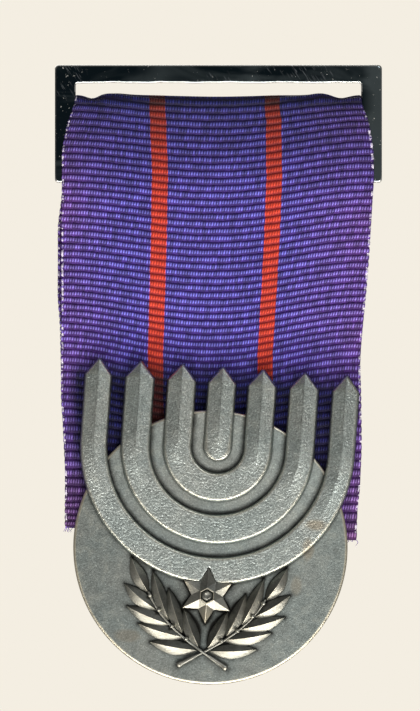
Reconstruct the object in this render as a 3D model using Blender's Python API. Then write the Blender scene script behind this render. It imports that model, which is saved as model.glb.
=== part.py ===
"""Military service medal: a round pendant with a seven-branched lampstand in relief over a star and
laurel wreath, hung by a looped ribbon from a rectangular frame with a brooch pin on its back.

Dimensions are in millimetres until make_object() scales them to metres. The pin's axis runs along X
through the world origin, +Z is up and the front faces -Y.
"""

import math

import bmesh
import bpy
from mathutils import Matrix, Vector

MM = 0.001

# Frame: a slotted plate. The pin's axis is the zero of Y and Z.
FRAME_WIDTH = 40.0
FRAME_HEIGHT = 14.4
FRAME_TOP_Z = 1.1
FRAME_BACK_Y = -1.7
FRAME_THICKNESS = 1.3
FRAME_EDGE = 0.3
FRAME_CORNER = 0.45
SLOT_WIDTH = 34.9
SLOT_HEIGHT = 2.3
SLOT_CORNER = 0.3
TOP_BAR_HEIGHT = 2.2

# Brooch fittings on the back of the top bar.
JOINT_GAP = 0.02
HINGE_X = -14.2
HINGE_BLOCK_WIDTH = 2.4
HINGE_LUG_IN = 0.45
HINGE_LUG_OUT = 0.85
HINGE_LUG_RADIUS = 0.85
HINGE_BASE_THICKNESS = 0.4
RIVET_RADIUS = 0.3
RIVET_HEAD_RADIUS = 0.52
RIVET_HEAD_THICKNESS = 0.14
RIVET_CLEARANCE = 0.04
PIN_RADIUS = 0.4
PIN_EYE_RADIUS = 0.78
PIN_TAPER_X = 14.4
PIN_POINT_X = 16.4
CATCH_X = 13.0
CATCH_WIDTH = 1.6
CATCH_OUTER_RADIUS = 1.05
CATCH_INNER_RADIUS = 0.79
CATCH_FOOT_HALF_HEIGHT = 0.7
ROLLER_OUTER_RADIUS = 0.75
ROLLER_INNER_RADIUS = 0.47
ROLLER_TAB_WIDTH = 0.45
ROLLER_TAB_REACH = 1.35
ROLLER_TAB_DEG = -40.0

# Ribbon: a loop over the plate below the slot, two layers meeting under the frame.
RIBBON_THICKNESS = 0.35
RIBBON_LAYER_OFFSET = 0.2
RIBBON_WRAP_OFFSET = 0.875
FOLD_CENTRE_Z = -3.6
FOLD_STRAIGHT_END_Z = -13.4
FOLD_END_Z = -16.2
RIBBON_HINGE_Z = -16.3
PANEL_TOP_Z = -16.75
SLOT_RIBBON_HALF = 17.1
RIBBON_LEFT_X = -19.2
RIBBON_RIGHT_X = 18.9
RIBBON_LEFT_END_X = -18.6
RIBBON_RIGHT_END_X = 16.9
REAR_LAYER_SHIFT = -0.3
PANEL_BOW_DEPTH = 0.45

# Pendant: everything below is in its own axes, across (u), up (w) and out of the front (h).
DISC_CENTRE_X = -0.98
DISC_CENTRE_Z = -57.9
DISC_TILT_DEG = 4.08
DISC_RADIUS = 16.78
DISC_FRONT_Y = -3.7
DISC_THICKNESS = 2.0
DISC_EDGE = 0.25
SEAT_FLOOR_Y = -2.6
SEAT_EDGE_W = 0.3
PENDANT_HINGE_Z = -49.65
PANEL_BOTTOM_Z = -49.05
TAIL_TOP_Z = -49.8
TAIL_END_LEFT_Z = -56.2
TAIL_END_RIGHT_Z = -57.0

# Lampstand: concentric U shapes about one point, and a short stem inside them.
ARM_CENTRE_W = 12.3
ARM_HEIGHT = 9.8
ARM_TIP = 2.0
STEM_HALF_WIDTH = 1.61
INNER_ARM = (3.30, 6.56)
MIDDLE_ARM = (8.39, 11.74)
OUTER_ARM = (13.63, 16.68)
ARM_EDGE_HEIGHT = 0.62
ARM_RIDGE_HEIGHT = 1.2
ARM_FLAT_HEIGHT = 0.9
ARM_TIP_HEIGHT = 0.45

# Star and wreath.
STAR_W = -5.93
STAR_RADIUS = 3.4
STAR_NOTCH_RADIUS = 1.3
STAR_EDGE_HEIGHT = 0.8
STAR_TIP_HEIGHT = 1.0
STAR_CENTRE_HEIGHT = 1.5
STAR_PAD_RADIUS = 1.05
BOSS_RADIUS = 0.95
BOSS_HEIGHT = 0.4
STEM_CURVE = ((-3.0, -14.7), (0.3, -12.6), (5.0, -10.5), (7.2, -5.9))
STEM_RADIUS = 0.24
# Each leaf: where it leaves the stem, its direction in degrees and its length.
OUTER_LEAVES = ((0.30, 5.0, 6.1), (0.49, 11.0, 5.6), (0.66, 19.0, 5.6), (0.83, 35.0, 5.2), (0.99, 59.0, 4.3))
INNER_LEAVES = ((0.34, 66.0, 4.3), (0.53, 69.0, 5.4), (0.70, 68.0, 6.2))
LEAF_HALF_WIDTH = 0.68
LEAF_EDGE_HEIGHT = 0.2
LEAF_RIDGE_HEIGHT = 0.85
BERRY_RADIUS = 0.3

# Clamp bar behind the pendant, in the pendant's axes.
BAR_W = (2.7, 6.0)
BAR_HALF_LENGTH = 12.4
BAR_BACK_GAP = 0.06
BAR_THICKNESS = 0.5
BAR_RIVET_U = 8.2
BAR_RIVET_RADIUS = 0.55
BAR_RIVET_HEAD_RADIUS = 0.95
BAR_RIVET_HEAD = 0.3
BAR_RIVET_HOLE = 0.62
BAR_RIVET_DEPTH = 0.6

ROUND_STEPS = 96
SMALL_STEPS = 28


def clear_scene():
    for obj in list(bpy.data.objects):
        bpy.data.objects.remove(obj, do_unlink=True)


def make_material(name, colour, roughness, metallic):
    material = bpy.data.materials.new(name)
    material.use_nodes = True
    shader = material.node_tree.nodes["Principled BSDF"]
    shader.inputs["Base Color"].default_value = (*colour, 1.0)
    shader.inputs["Roughness"].default_value = roughness
    shader.inputs["Metallic"].default_value = metallic
    material.diffuse_color = (*colour, 1.0)
    return material


def make_object(name, verts, faces, material=None, parent=None, origin=(0.0, 0.0, 0.0), smooth=False):
    """A mesh from points in millimetres, with its origin at the given point."""
    base = Vector(origin)
    mesh = bpy.data.meshes.new(name)
    mesh.from_pydata([(Vector(v) - base) * MM for v in verts], [], faces)
    shape = bmesh.new()
    shape.from_mesh(mesh)
    bmesh.ops.remove_doubles(shape, verts=shape.verts, dist=1e-7)
    bmesh.ops.recalc_face_normals(shape, faces=shape.faces)
    if shape.calc_volume(signed=True) < 0:
        bmesh.ops.reverse_faces(shape, faces=shape.faces)
    for face in shape.faces:
        face.smooth = smooth
    shape.to_mesh(mesh)
    shape.free()
    obj = bpy.data.objects.new(name, mesh)
    bpy.context.collection.objects.link(obj)
    if material:
        mesh.materials.append(material)
    if parent:
        obj.parent = parent
        obj.location = (base - Vector(parent["axis_mm"])) * MM
    else:
        obj.location = base * MM
    return obj


def make_axis(name, point):
    """An empty on a joint's axis, which carries the pieces that turn about it."""
    axis = bpy.data.objects.new(name, None)
    axis.empty_display_size = 2 * MM
    axis.location = Vector(point) * MM
    axis["axis_mm"] = point
    bpy.context.collection.objects.link(axis)
    return axis


def hide_helper(obj):
    obj.hide_render = True
    obj.display_type = "WIRE"


def add_boolean(obj, other, operation):
    modifier = obj.modifiers.new(other.name, "BOOLEAN")
    modifier.operation = operation
    modifier.solver = "EXACT"
    modifier.object = other
    hide_helper(other)


def loft(sections, closed=False):
    """Points and faces of a surface through equal sections, capped unless it closes on itself."""
    size = len(sections[0])
    verts = [point for section in sections for point in section]
    faces = []
    spans = len(sections) if closed else len(sections) - 1
    for i in range(spans):
        j = (i + 1) % len(sections)
        for k in range(size):
            m = (k + 1) % size
            faces.append((i * size + k, i * size + m, j * size + m, j * size + k))
    if not closed:
        faces.append(tuple(range(size)))
        faces.append(tuple(range((len(sections) - 1) * size, len(sections) * size)))
    return verts, faces


def circle(radius, steps, start=0.0):
    turn = 2 * math.pi / steps
    return [(radius * math.cos(start + turn * i), radius * math.sin(start + turn * i)) for i in range(steps)]


def rounded_rectangle(half_x, half_z, corner, steps=4):
    points = []
    for quarter, (sign_x, sign_z) in enumerate(((1, 1), (-1, 1), (-1, -1), (1, -1))):
        for i in range(steps + 1):
            angle = math.pi / 2 * (quarter + i / steps)
            x = sign_x * (half_x - corner) + corner * math.cos(angle)
            z = sign_z * (half_z - corner) + corner * math.sin(angle)
            points.append((x, z))
    return points


def prism_along_x(name, profile, x0, x1, **options):
    """A profile of (y, z) points carried from x0 to x1."""
    sections = [[(x, y, z) for y, z in profile] for x in (x0, x1)]
    return make_object(name, *loft(sections), **options)


def prism_along_z(name, profile, z0, z1, **options):
    """A profile of (x, y) points carried from z0 to z1."""
    sections = [[(x, y, z) for x, y in profile] for z in (z0, z1)]
    return make_object(name, *loft(sections), **options)


def prism_along_y(name, profile, y0, y1, **options):
    """A profile of (x, z) points carried from y0 to y1."""
    sections = [[(x, y, z) for x, z in profile] for y in (y0, y1)]
    return make_object(name, *loft(sections), **options)


def turned_along_x(name, profile, steps, **options):
    """A solid of revolution about the pin's axis from (x, radius) points."""
    sections = [[(x, y, z) for y, z in circle(radius, steps)] for x, radius in profile]
    return make_object(name, *loft(sections), **options)


def box(name, low, high, **options):
    profile = [(low[0], low[1]), (high[0], low[1]), (high[0], high[1]), (low[0], high[1])]
    return prism_along_z(name, profile, low[2], high[2], **options)


# ---------------------------------------------------------------- frame and brooch


def make_frame(material):
    """The slotted plate, every outer and slot edge eased."""
    back = FRAME_BACK_Y
    front = FRAME_BACK_Y - FRAME_THICKNESS
    middle_z = FRAME_TOP_Z - FRAME_HEIGHT / 2
    sections = []
    for depth, inset in ((0.0, FRAME_EDGE), (0.3, 0.09), (1.0, 0.0)):
        sections.append((front + FRAME_EDGE * depth, inset))
    for depth, inset in ((1.0, 0.0), (0.3, 0.09), (0.0, FRAME_EDGE)):
        sections.append((back - FRAME_EDGE * depth, inset))
    rings = []
    for y, inset in sections:
        ring = rounded_rectangle(FRAME_WIDTH / 2 - inset, FRAME_HEIGHT / 2 - inset, FRAME_CORNER - inset * 0.5)
        rings.append([(x, y, z + middle_z) for x, z in ring])
    frame = make_object("ribbon_frame", *loft(rings), material=material)
    slot_z = FRAME_TOP_Z - TOP_BAR_HEIGHT - SLOT_HEIGHT / 2
    slot = [(x, z + slot_z) for x, z in rounded_rectangle(SLOT_WIDTH / 2, SLOT_HEIGHT / 2, SLOT_CORNER)]
    cutter = prism_along_y("slot_cutter", slot, front - 1, back + 1)
    add_boolean(frame, cutter, "DIFFERENCE")


def make_hinge(metal, pin_metal):
    """The fork on the frame's back, the rivet through it and the pin that turns on the rivet."""
    foot_y = FRAME_BACK_Y + JOINT_GAP
    half = HINGE_BLOCK_WIDTH / 2
    base_y = foot_y + HINGE_BASE_THICKNESS
    block = box(
        "pin_hinge_block",
        (HINGE_X - half, foot_y, -HINGE_LUG_OUT),
        (HINGE_X + half, base_y, HINGE_LUG_OUT),
        material=metal,
    )
    arc = [math.pi * i / 12 for i in range(13)]
    lug = [(HINGE_X + HINGE_LUG_RADIUS * math.cos(a), HINGE_LUG_RADIUS * math.sin(a)) for a in arc]
    lug += [(HINGE_X - HINGE_LUG_RADIUS, base_y - 0.1), (HINGE_X + HINGE_LUG_RADIUS, base_y - 0.1)]
    for side, (z0, z1) in (("top", (HINGE_LUG_IN, HINGE_LUG_OUT)), ("bottom", (-HINGE_LUG_OUT, -HINGE_LUG_IN))):
        # The lugs stand a hair inside the base's faces, so that the union has no faces in one plane.
        ear = prism_along_z("hinge_lug_" + side, lug, z0 + 0.01 * (side == "bottom"), z1 - 0.01 * (side == "top"))
        add_boolean(block, ear, "UNION")
    bore = [(HINGE_X + x, y) for x, y in circle(RIVET_RADIUS + JOINT_GAP, SMALL_STEPS)]
    add_boolean(block, prism_along_z("hinge_bore", bore, -2, 2), "DIFFERENCE")

    head = HINGE_LUG_OUT + JOINT_GAP
    rings = []
    for z, radius in (
        (-head - RIVET_HEAD_THICKNESS, RIVET_HEAD_RADIUS - 0.1),
        (-head - RIVET_HEAD_THICKNESS + 0.06, RIVET_HEAD_RADIUS),
        (-head, RIVET_HEAD_RADIUS),
        (-head, RIVET_RADIUS),
        (head, RIVET_RADIUS),
        (head, RIVET_HEAD_RADIUS),
        (head + RIVET_HEAD_THICKNESS - 0.06, RIVET_HEAD_RADIUS),
        (head + RIVET_HEAD_THICKNESS, RIVET_HEAD_RADIUS - 0.1),
    ):
        rings.append([(HINGE_X + x, y, z) for x, y in circle(radius, SMALL_STEPS)])
    make_object("pin_hinge_rivet", *loft(rings), material=metal)

    origin = (HINGE_X, 0.0, 0.0)
    eye = [(HINGE_X + x, y) for x, y in circle(PIN_EYE_RADIUS, SMALL_STEPS)]
    pin = prism_along_z("brooch_pin", eye, -PIN_RADIUS, PIN_RADIUS, material=pin_metal, origin=origin)
    profile = (
        (HINGE_X + 0.45, PIN_RADIUS * 0.9),
        (HINGE_X + 0.9, PIN_RADIUS * 0.98),
        (PIN_TAPER_X, PIN_RADIUS),
        (PIN_TAPER_X + 1.0, PIN_RADIUS * 0.72),
        (PIN_POINT_X - 0.15, 0.1),
        (PIN_POINT_X, 0.03),
    )
    add_boolean(pin, turned_along_x("pin_shaft", profile, 20), "UNION")
    bore = [(HINGE_X + x, y) for x, y in circle(RIVET_RADIUS + RIVET_CLEARANCE, SMALL_STEPS)]
    add_boolean(pin, prism_along_z("pin_bore", bore, -2, 2), "DIFFERENCE")


def split_tube(name, inner, outer, half_gap, x0, x1, **options):
    """A tube about the pin's axis with a straight-sided slot open to +Y."""
    steps = 20
    profile = []
    for radius, outward in ((outer, True), (inner, False)):
        start = math.asin(min(half_gap / radius, 0.999))
        sweep = 2 * math.pi - 2 * start
        angles = [start + sweep * i / steps for i in range(steps + 1)]
        ring = [(radius * math.cos(a), radius * math.sin(a)) for a in angles]
        profile += ring if outward else ring[::-1]
    return prism_along_x(name, profile, x0, x1, **options)


def make_catch(metal):
    """The split barrel on the frame's back and the split sleeve that turns inside it to lock the pin."""
    x0 = CATCH_X - CATCH_WIDTH / 2
    x1 = CATCH_X + CATCH_WIDTH / 2
    half_gap = ROLLER_INNER_RADIUS - 0.01
    barrel = split_tube("pin_catch", CATCH_INNER_RADIUS, CATCH_OUTER_RADIUS, half_gap, x0, x1, material=metal)
    foot = box(
        "catch_foot",
        (x0 + 0.02, FRAME_BACK_Y + JOINT_GAP, -CATCH_FOOT_HALF_HEIGHT),
        (x1 - 0.02, -CATCH_INNER_RADIUS - 0.1, CATCH_FOOT_HALF_HEIGHT),
    )
    add_boolean(barrel, foot, "UNION")

    origin = (CATCH_X, 0.0, 0.0)
    sleeve = split_tube(
        "catch_roller",
        ROLLER_INNER_RADIUS,
        ROLLER_OUTER_RADIUS,
        half_gap,
        x0 - 0.05,
        x1 + ROLLER_TAB_WIDTH + 0.05,
        material=metal,
        origin=origin,
    )
    tilt = math.radians(ROLLER_TAB_DEG)
    along = Vector((math.cos(tilt), math.sin(tilt)))
    across = Vector((-along.y, along.x))
    corners = ((0.6, -0.28), (ROLLER_TAB_REACH - 0.1, -0.28), (ROLLER_TAB_REACH, -0.14))
    profile = [along * a + across * b for a, b in corners]
    profile += [along * a - across * b for a, b in corners[::-1]]
    tab = prism_along_x("roller_tab", [tuple(p) for p in profile], x1 + 0.04, x1 + ROLLER_TAB_WIDTH)
    add_boolean(sleeve, tab, "UNION")


# ---------------------------------------------------------------- ribbon


def ribbon_middle_y(z):
    """Depth of the ribbon's middle surface at a height, level with the frame above and the disc's seat below."""
    frame_middle = FRAME_BACK_Y - FRAME_THICKNESS / 2
    seat_middle = SEAT_FLOOR_Y + JOINT_GAP + RIBBON_THICKNESS / 2 + RIBBON_LAYER_OFFSET
    disc_top = DISC_CENTRE_Z + DISC_RADIUS
    if z < disc_top:
        return seat_middle
    share = (RIBBON_HINGE_Z - z) / (RIBBON_HINGE_Z - disc_top)
    share = min(max(share, 0.0), 1.0)
    eased = share * share * (3 - 2 * share)
    bow = PANEL_BOW_DEPTH * math.sin(math.pi * share) ** 2
    return frame_middle + (seat_middle - frame_middle) * eased + bow


def ribbon_edges(z):
    """Left and right edges of the ribbon at a height: gathered at the slot, full width below it."""
    slot_z = FOLD_CENTRE_Z
    full_z = slot_z - 6.0
    if z > full_z:
        share = min((slot_z - z) / (slot_z - full_z), 1.0) if z < slot_z else 0.0
        share = share * share * (3 - 2 * share)
        return (
            -SLOT_RIBBON_HALF + (RIBBON_LEFT_X + SLOT_RIBBON_HALF) * share,
            SLOT_RIBBON_HALF + (RIBBON_RIGHT_X - SLOT_RIBBON_HALF) * share,
        )
    share = min((full_z - z) / (full_z - TAIL_END_RIGHT_Z), 1.0)
    return (
        RIBBON_LEFT_X + (RIBBON_LEFT_END_X - RIBBON_LEFT_X) * share,
        RIBBON_RIGHT_X + (RIBBON_RIGHT_END_X - RIBBON_RIGHT_X) * share,
    )


def make_sheet(name, path, shift=0.0, end_slope=0.0, **options):
    """A strip of ribbon through (y, z) points: each row has its two edges on both faces."""
    half = RIBBON_THICKNESS / 2
    sections = []
    for i, (y, z) in enumerate(path):
        before = Vector(path[max(i - 1, 0)])
        after = Vector(path[min(i + 1, len(path) - 1)])
        along = (after - before).normalized()
        normal = Vector((along.y, -along.x))
        left, right = ribbon_edges(z)
        left += shift
        right += shift
        row = []
        for x, side in ((left, 1), (right, 1), (right, -1), (left, -1)):
            drop = end_slope * (x - left) / (right - left) if i == len(path) - 1 else 0.0
            row.append((x, y + normal.x * half * side, z + normal.y * half * side + drop))
        sections.append(row)
    return make_object(name, *loft(sections), smooth=False, **options)


def make_ribbon(material, swing, hang):
    middle = FRAME_BACK_Y - FRAME_THICKNESS / 2
    legs = []
    for i in range(9):
        share = i / 8
        eased = share * share * (3 - 2 * share)
        z = FOLD_END_Z + (FOLD_STRAIGHT_END_Z - FOLD_END_Z) * share
        legs.append((RIBBON_LAYER_OFFSET + (RIBBON_WRAP_OFFSET - RIBBON_LAYER_OFFSET) * eased, z))
    legs += [(RIBBON_WRAP_OFFSET, z) for z in (-11.5, -9.6, -8.4, -7.2, -6.0, -4.8)]
    arc = [math.pi * i / 14 for i in range(15)]
    path = [(middle - offset, z) for offset, z in legs]
    path += [
        (middle - RIBBON_WRAP_OFFSET * math.cos(a), FOLD_CENTRE_Z + RIBBON_WRAP_OFFSET * math.sin(a)) for a in arc
    ]
    path += [(middle + offset, z) for offset, z in legs[::-1]]
    make_sheet("ribbon_top_fold", path, material=material)

    steps = 24
    heights = [PANEL_TOP_Z + (PANEL_BOTTOM_Z - PANEL_TOP_Z) * i / steps for i in range(steps + 1)]
    for name, side, shift in (("front", -1, 0.0), ("rear", 1, REAR_LAYER_SHIFT)):
        path = [(ribbon_middle_y(z) + side * RIBBON_LAYER_OFFSET, z) for z in heights]
        make_sheet("ribbon_" + name + "_panel", path, shift, material=material, parent=swing, origin=swing["axis_mm"])
        tail_path = [
            (ribbon_middle_y(z) + side * RIBBON_LAYER_OFFSET, z) for z in (TAIL_TOP_Z, TAIL_END_LEFT_Z)
        ]
        tail = make_sheet(
            "ribbon_" + name + "_tail",
            tail_path,
            shift,
            end_slope=TAIL_END_RIGHT_Z - TAIL_END_LEFT_Z,
            material=material,
            parent=hang,
            origin=hang["axis_mm"],
        )
        for hole, u in (("left", -BAR_RIVET_U), ("right", BAR_RIVET_U)):
            cutter = rivet_cylinder(name + "_tail_hole_" + hole, u, BAR_RIVET_HOLE, -2.6, -0.9)
            add_boolean(tail, cutter, "DIFFERENCE")


# ---------------------------------------------------------------- pendant


def pendant_point(u, w, h):
    """World millimetres of a point given across, up and out of the pendant's front face."""
    tilt = math.radians(DISC_TILT_DEG)
    x = DISC_CENTRE_X + u * math.cos(tilt) + w * math.sin(tilt)
    z = DISC_CENTRE_Z - u * math.sin(tilt) + w * math.cos(tilt)
    return (x, DISC_FRONT_Y - h, z)


def pendant_loft(name, sections, closed=False, **options):
    """Lofts sections given in the pendant's axes."""
    placed = [[pendant_point(*point) for point in section] for section in sections]
    return make_object(name, *loft(placed, closed), **options)


def rivet_cylinder(name, u, radius, h0, h1, **options):
    w = (BAR_W[0] + BAR_W[1]) / 2
    sections = [[(u + a, w + b, h) for a, b in circle(radius, SMALL_STEPS)] for h in (h0, h1)]
    return pendant_loft(name, sections, **options)


def make_disc(material, hang):
    """The round body, with a step cut across the upper part of its back where the ribbon ends lie."""
    profile = (
        (0.0, DISC_RADIUS - DISC_EDGE),
        (-0.07, DISC_RADIUS - 0.08),
        (-DISC_EDGE, DISC_RADIUS),
        (DISC_EDGE - DISC_THICKNESS, DISC_RADIUS),
        (0.07 - DISC_THICKNESS, DISC_RADIUS - 0.08),
        (-DISC_THICKNESS, DISC_RADIUS - DISC_EDGE),
    )
    sections = [[(a, b, h) for a, b in circle(radius, ROUND_STEPS)] for h, radius in profile]
    disc = pendant_loft("pendant_disc", sections, material=material, parent=hang, origin=hang["axis_mm"])
    floor = DISC_FRONT_Y - SEAT_FLOOR_Y
    corners = ((-20, SEAT_EDGE_W), (20, SEAT_EDGE_W), (20, 20), (-20, 20))
    seat = pendant_loft("seat_cutter", [[(u, w, h) for u, w in corners] for h in (floor, floor - 3)])
    add_boolean(disc, seat, "DIFFERENCE")
    for side, u in (("left", -BAR_RIVET_U), ("right", BAR_RIVET_U)):
        hole = rivet_cylinder("disc_hole_" + side, u, BAR_RIVET_HOLE, floor - 1, floor + BAR_RIVET_DEPTH)
        add_boolean(disc, hole, "DIFFERENCE")
    return disc


def arm_section(left, right, edge_height, ridge_height):
    """Five points across an arm: two feet, two upper edges and the ridge between them."""
    middle = (Vector(left) + Vector(right)) / 2
    foot = JOINT_GAP
    return [
        (left[0], left[1], foot),
        (left[0], left[1], edge_height),
        (middle.x, middle.y, ridge_height),
        (right[0], right[1], edge_height),
        (right[0], right[1], foot),
    ]


def make_arm_pair(name, radii, **options):
    """One U: two upright arms with pointed tips joined by a half ring below."""
    inner, outer = radii
    middle = (inner + outer) / 2
    shoulder_w = ARM_CENTRE_W + ARM_HEIGHT - ARM_TIP
    apex_w = ARM_CENTRE_W + ARM_HEIGHT
    point = 0.06
    sections = []

    def upright(side):
        rows = [
            ((middle + point, apex_w), (middle - point, apex_w), ARM_TIP_HEIGHT, ARM_TIP_HEIGHT + 0.05),
            ((outer, shoulder_w), (inner, shoulder_w), ARM_EDGE_HEIGHT, ARM_RIDGE_HEIGHT),
            ((outer, ARM_CENTRE_W + 1.5), (inner, ARM_CENTRE_W + 1.5), ARM_EDGE_HEIGHT, ARM_RIDGE_HEIGHT),
        ]
        return [
            arm_section((side * a[0], a[1]), (side * b[0], b[1]), edge, ridge) for a, b, edge, ridge in rows
        ]

    sections += upright(-1)
    steps = 32
    for i in range(steps + 1):
        angle = math.pi + math.pi * i / steps
        flat = math.sin(math.pi * i / steps) ** 0.7
        edge = ARM_EDGE_HEIGHT + (ARM_FLAT_HEIGHT - 0.04 - ARM_EDGE_HEIGHT) * flat
        ridge = ARM_RIDGE_HEIGHT + (ARM_FLAT_HEIGHT - ARM_RIDGE_HEIGHT) * flat
        far = (outer * math.cos(angle), ARM_CENTRE_W + outer * math.sin(angle))
        near = (inner * math.cos(angle), ARM_CENTRE_W + inner * math.sin(angle))
        sections.append(arm_section(far, near, edge, ridge))
    sections += upright(1)[::-1]
    return pendant_loft(name, sections, **options)


def make_stem(**options):
    """The middle light: an upright bar with a pointed tip and a half-round foot."""
    half = STEM_HALF_WIDTH
    apex_w = ARM_CENTRE_W + ARM_HEIGHT
    shoulder_w = apex_w - ARM_TIP
    sections = [
        arm_section((-0.06, apex_w), (0.06, apex_w), ARM_TIP_HEIGHT, ARM_TIP_HEIGHT + 0.05),
        arm_section((-half, shoulder_w), (half, shoulder_w), ARM_EDGE_HEIGHT, ARM_RIDGE_HEIGHT),
        arm_section((-half, ARM_CENTRE_W + 1.5), (half, ARM_CENTRE_W + 1.5), ARM_EDGE_HEIGHT, ARM_RIDGE_HEIGHT),
    ]
    steps = 8
    for i in range(steps + 1):
        angle = math.pi / 2 * i / steps * 0.97
        across = half * math.cos(angle)
        w = ARM_CENTRE_W - half * math.sin(angle)
        share = i / steps
        edge = ARM_EDGE_HEIGHT + (0.8 - ARM_EDGE_HEIGHT) * share
        ridge = ARM_RIDGE_HEIGHT + (0.82 - ARM_RIDGE_HEIGHT) * share
        sections.append(arm_section((-across, w), (across, w), edge, ridge))
    return pendant_loft("centre_stem", sections, **options)


def star_outline(radius, notch):
    points = []
    for i in range(12):
        reach = radius if i % 2 == 0 else notch
        angle = math.pi / 2 + math.pi / 6 * i
        points.append((reach * math.cos(angle), STAR_W + reach * math.sin(angle)))
    return points


def make_star(outer_arm, **options):
    """A six-pointed star with ridged points and a flat pad for its boss."""
    edge = star_outline(STAR_RADIUS, STAR_NOTCH_RADIUS)
    pad = []
    for i in range(12):
        reach = STAR_PAD_RADIUS if i % 2 == 0 else STAR_PAD_RADIUS * math.cos(math.pi / 6)
        angle = math.pi / 2 + math.pi / 6 * i
        pad.append((reach * math.cos(angle), STAR_W + reach * math.sin(angle)))
    upper = []
    for i, (u, w) in enumerate(edge):
        upper.append((u, w, STAR_TIP_HEIGHT if i % 2 == 0 else STAR_EDGE_HEIGHT))
    sections = [
        [(u, w, JOINT_GAP) for u, w in edge],
        upper,
        [(u, w, STAR_CENTRE_HEIGHT) for u, w in pad],
    ]
    star = pendant_loft("star", sections, **options)
    clear = star_outline(STAR_RADIUS + 0.16, STAR_NOTCH_RADIUS + 0.04)
    cutter = pendant_loft("star_clearance", [[(u, w, h) for u, w in clear] for h in (-0.5, 3.0)])
    add_boolean(outer_arm, cutter, "DIFFERENCE")
    return star


def make_boss(**options):
    """A plain six-sided boss with a round dimple."""
    base = STAR_CENTRE_HEIGHT + JOINT_GAP
    top = base + BOSS_HEIGHT
    start = math.pi / 2
    sections = []
    for h, radius in ((base, BOSS_RADIUS), (top - 0.12, BOSS_RADIUS), (top, BOSS_RADIUS - 0.14)):
        sections.append([(u, STAR_W + w, h) for u, w in circle(radius, 6, start)])
    boss = pendant_loft("star_boss", sections, **options)
    dimple = []
    for h, radius in ((top - 0.2, 0.2), (top - 0.1, 0.42), (top + 0.2, 0.55)):
        dimple.append([(u, STAR_W + w, h) for u, w in circle(radius, 20)])
    add_boolean(boss, pendant_loft("boss_dimple", dimple), "DIFFERENCE")
    return boss


def stem_point(share):
    """A point on the right-hand sprig's stem, from its cut end to its top leaf."""
    a, b, c, d = (Vector(p) for p in STEM_CURVE)
    back = 1 - share
    return a * back**3 + b * 3 * back**2 * share + c * 3 * back * share**2 + d * share**3


def leaf_sections(start, degrees, length, bend, mirror):
    """A pointed, ridged leaf that curves slightly towards the top of the sprig."""
    steps = 8
    sections = []
    angle = math.radians(degrees)
    along = Vector((math.cos(angle), math.sin(angle)))
    side = Vector((-along.y, along.x))
    for i in range(steps + 1):
        share = i / steps
        swell = math.sin(math.pi * share**0.85) ** 0.8 if 0 < share < 1 else 0.0
        half = 0.05 + LEAF_HALF_WIDTH * swell
        centre = start + along * length * share + side * bend * math.sin(math.pi * share)
        ridge = LEAF_EDGE_HEIGHT + (LEAF_RIDGE_HEIGHT - LEAF_EDGE_HEIGHT) * (0.35 + 0.65 * swell)
        left = centre + side * half
        right = centre - side * half
        section = arm_section(tuple(left), tuple(right), LEAF_EDGE_HEIGHT, ridge)
        sections.append([(mirror * u, w, h) for u, w, h in section])
    return sections


def make_wreath(**options):
    """Two laurel sprigs crossed at their stems, joined into one piece."""
    wreath = None
    for side, mirror in (("right", 1), ("left", -1)):
        rows = []
        steps = 14
        for i in range(steps + 1):
            share = i / steps
            centre = stem_point(share)
            ahead = (stem_point(min(share + 0.02, 1.0)) - stem_point(max(share - 0.02, 0.0))).normalized()
            across = Vector((-ahead.y, ahead.x))
            lift = 0.1 if side == "left" else 0.0
            ring = []
            for a, b in circle(STEM_RADIUS, 8, math.pi / 8):
                place = centre + across * a
                ring.append((mirror * place.x, place.y, 0.3 + lift + b))
            rows.append(ring)
        stem = pendant_loft("sprig_stem_" + side, rows, **(options if wreath is None else {}))
        if wreath is None:
            stem.name = "laurel_wreath"
            wreath = stem
        else:
            add_boolean(wreath, stem, "UNION")
        for group, bend, leaves in (("outer", -0.12, OUTER_LEAVES), ("inner", 0.12, INNER_LEAVES)):
            for i, (share, degrees, length) in enumerate(leaves):
                name = "leaf_" + side + "_" + group + "_" + str(i)
                leaf = pendant_loft(name, leaf_sections(stem_point(share), degrees, length, bend, mirror))
                add_boolean(wreath, leaf, "UNION")
        for i, (share, degrees, length) in enumerate(OUTER_LEAVES[1:]):
            centre = stem_point(share)
            sections = []
            for h, radius in ((0.1, 0.2), (0.3, BERRY_RADIUS), (0.5, BERRY_RADIUS * 0.9), (0.68, 0.12)):
                ring = circle(radius, 10)
                sections.append([(mirror * (centre.x - 0.1 + a), centre.y + 0.22 + b, h) for a, b in ring])
            add_boolean(wreath, pendant_loft("berry_" + side + "_" + str(i), sections), "UNION")
    return wreath


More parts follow.
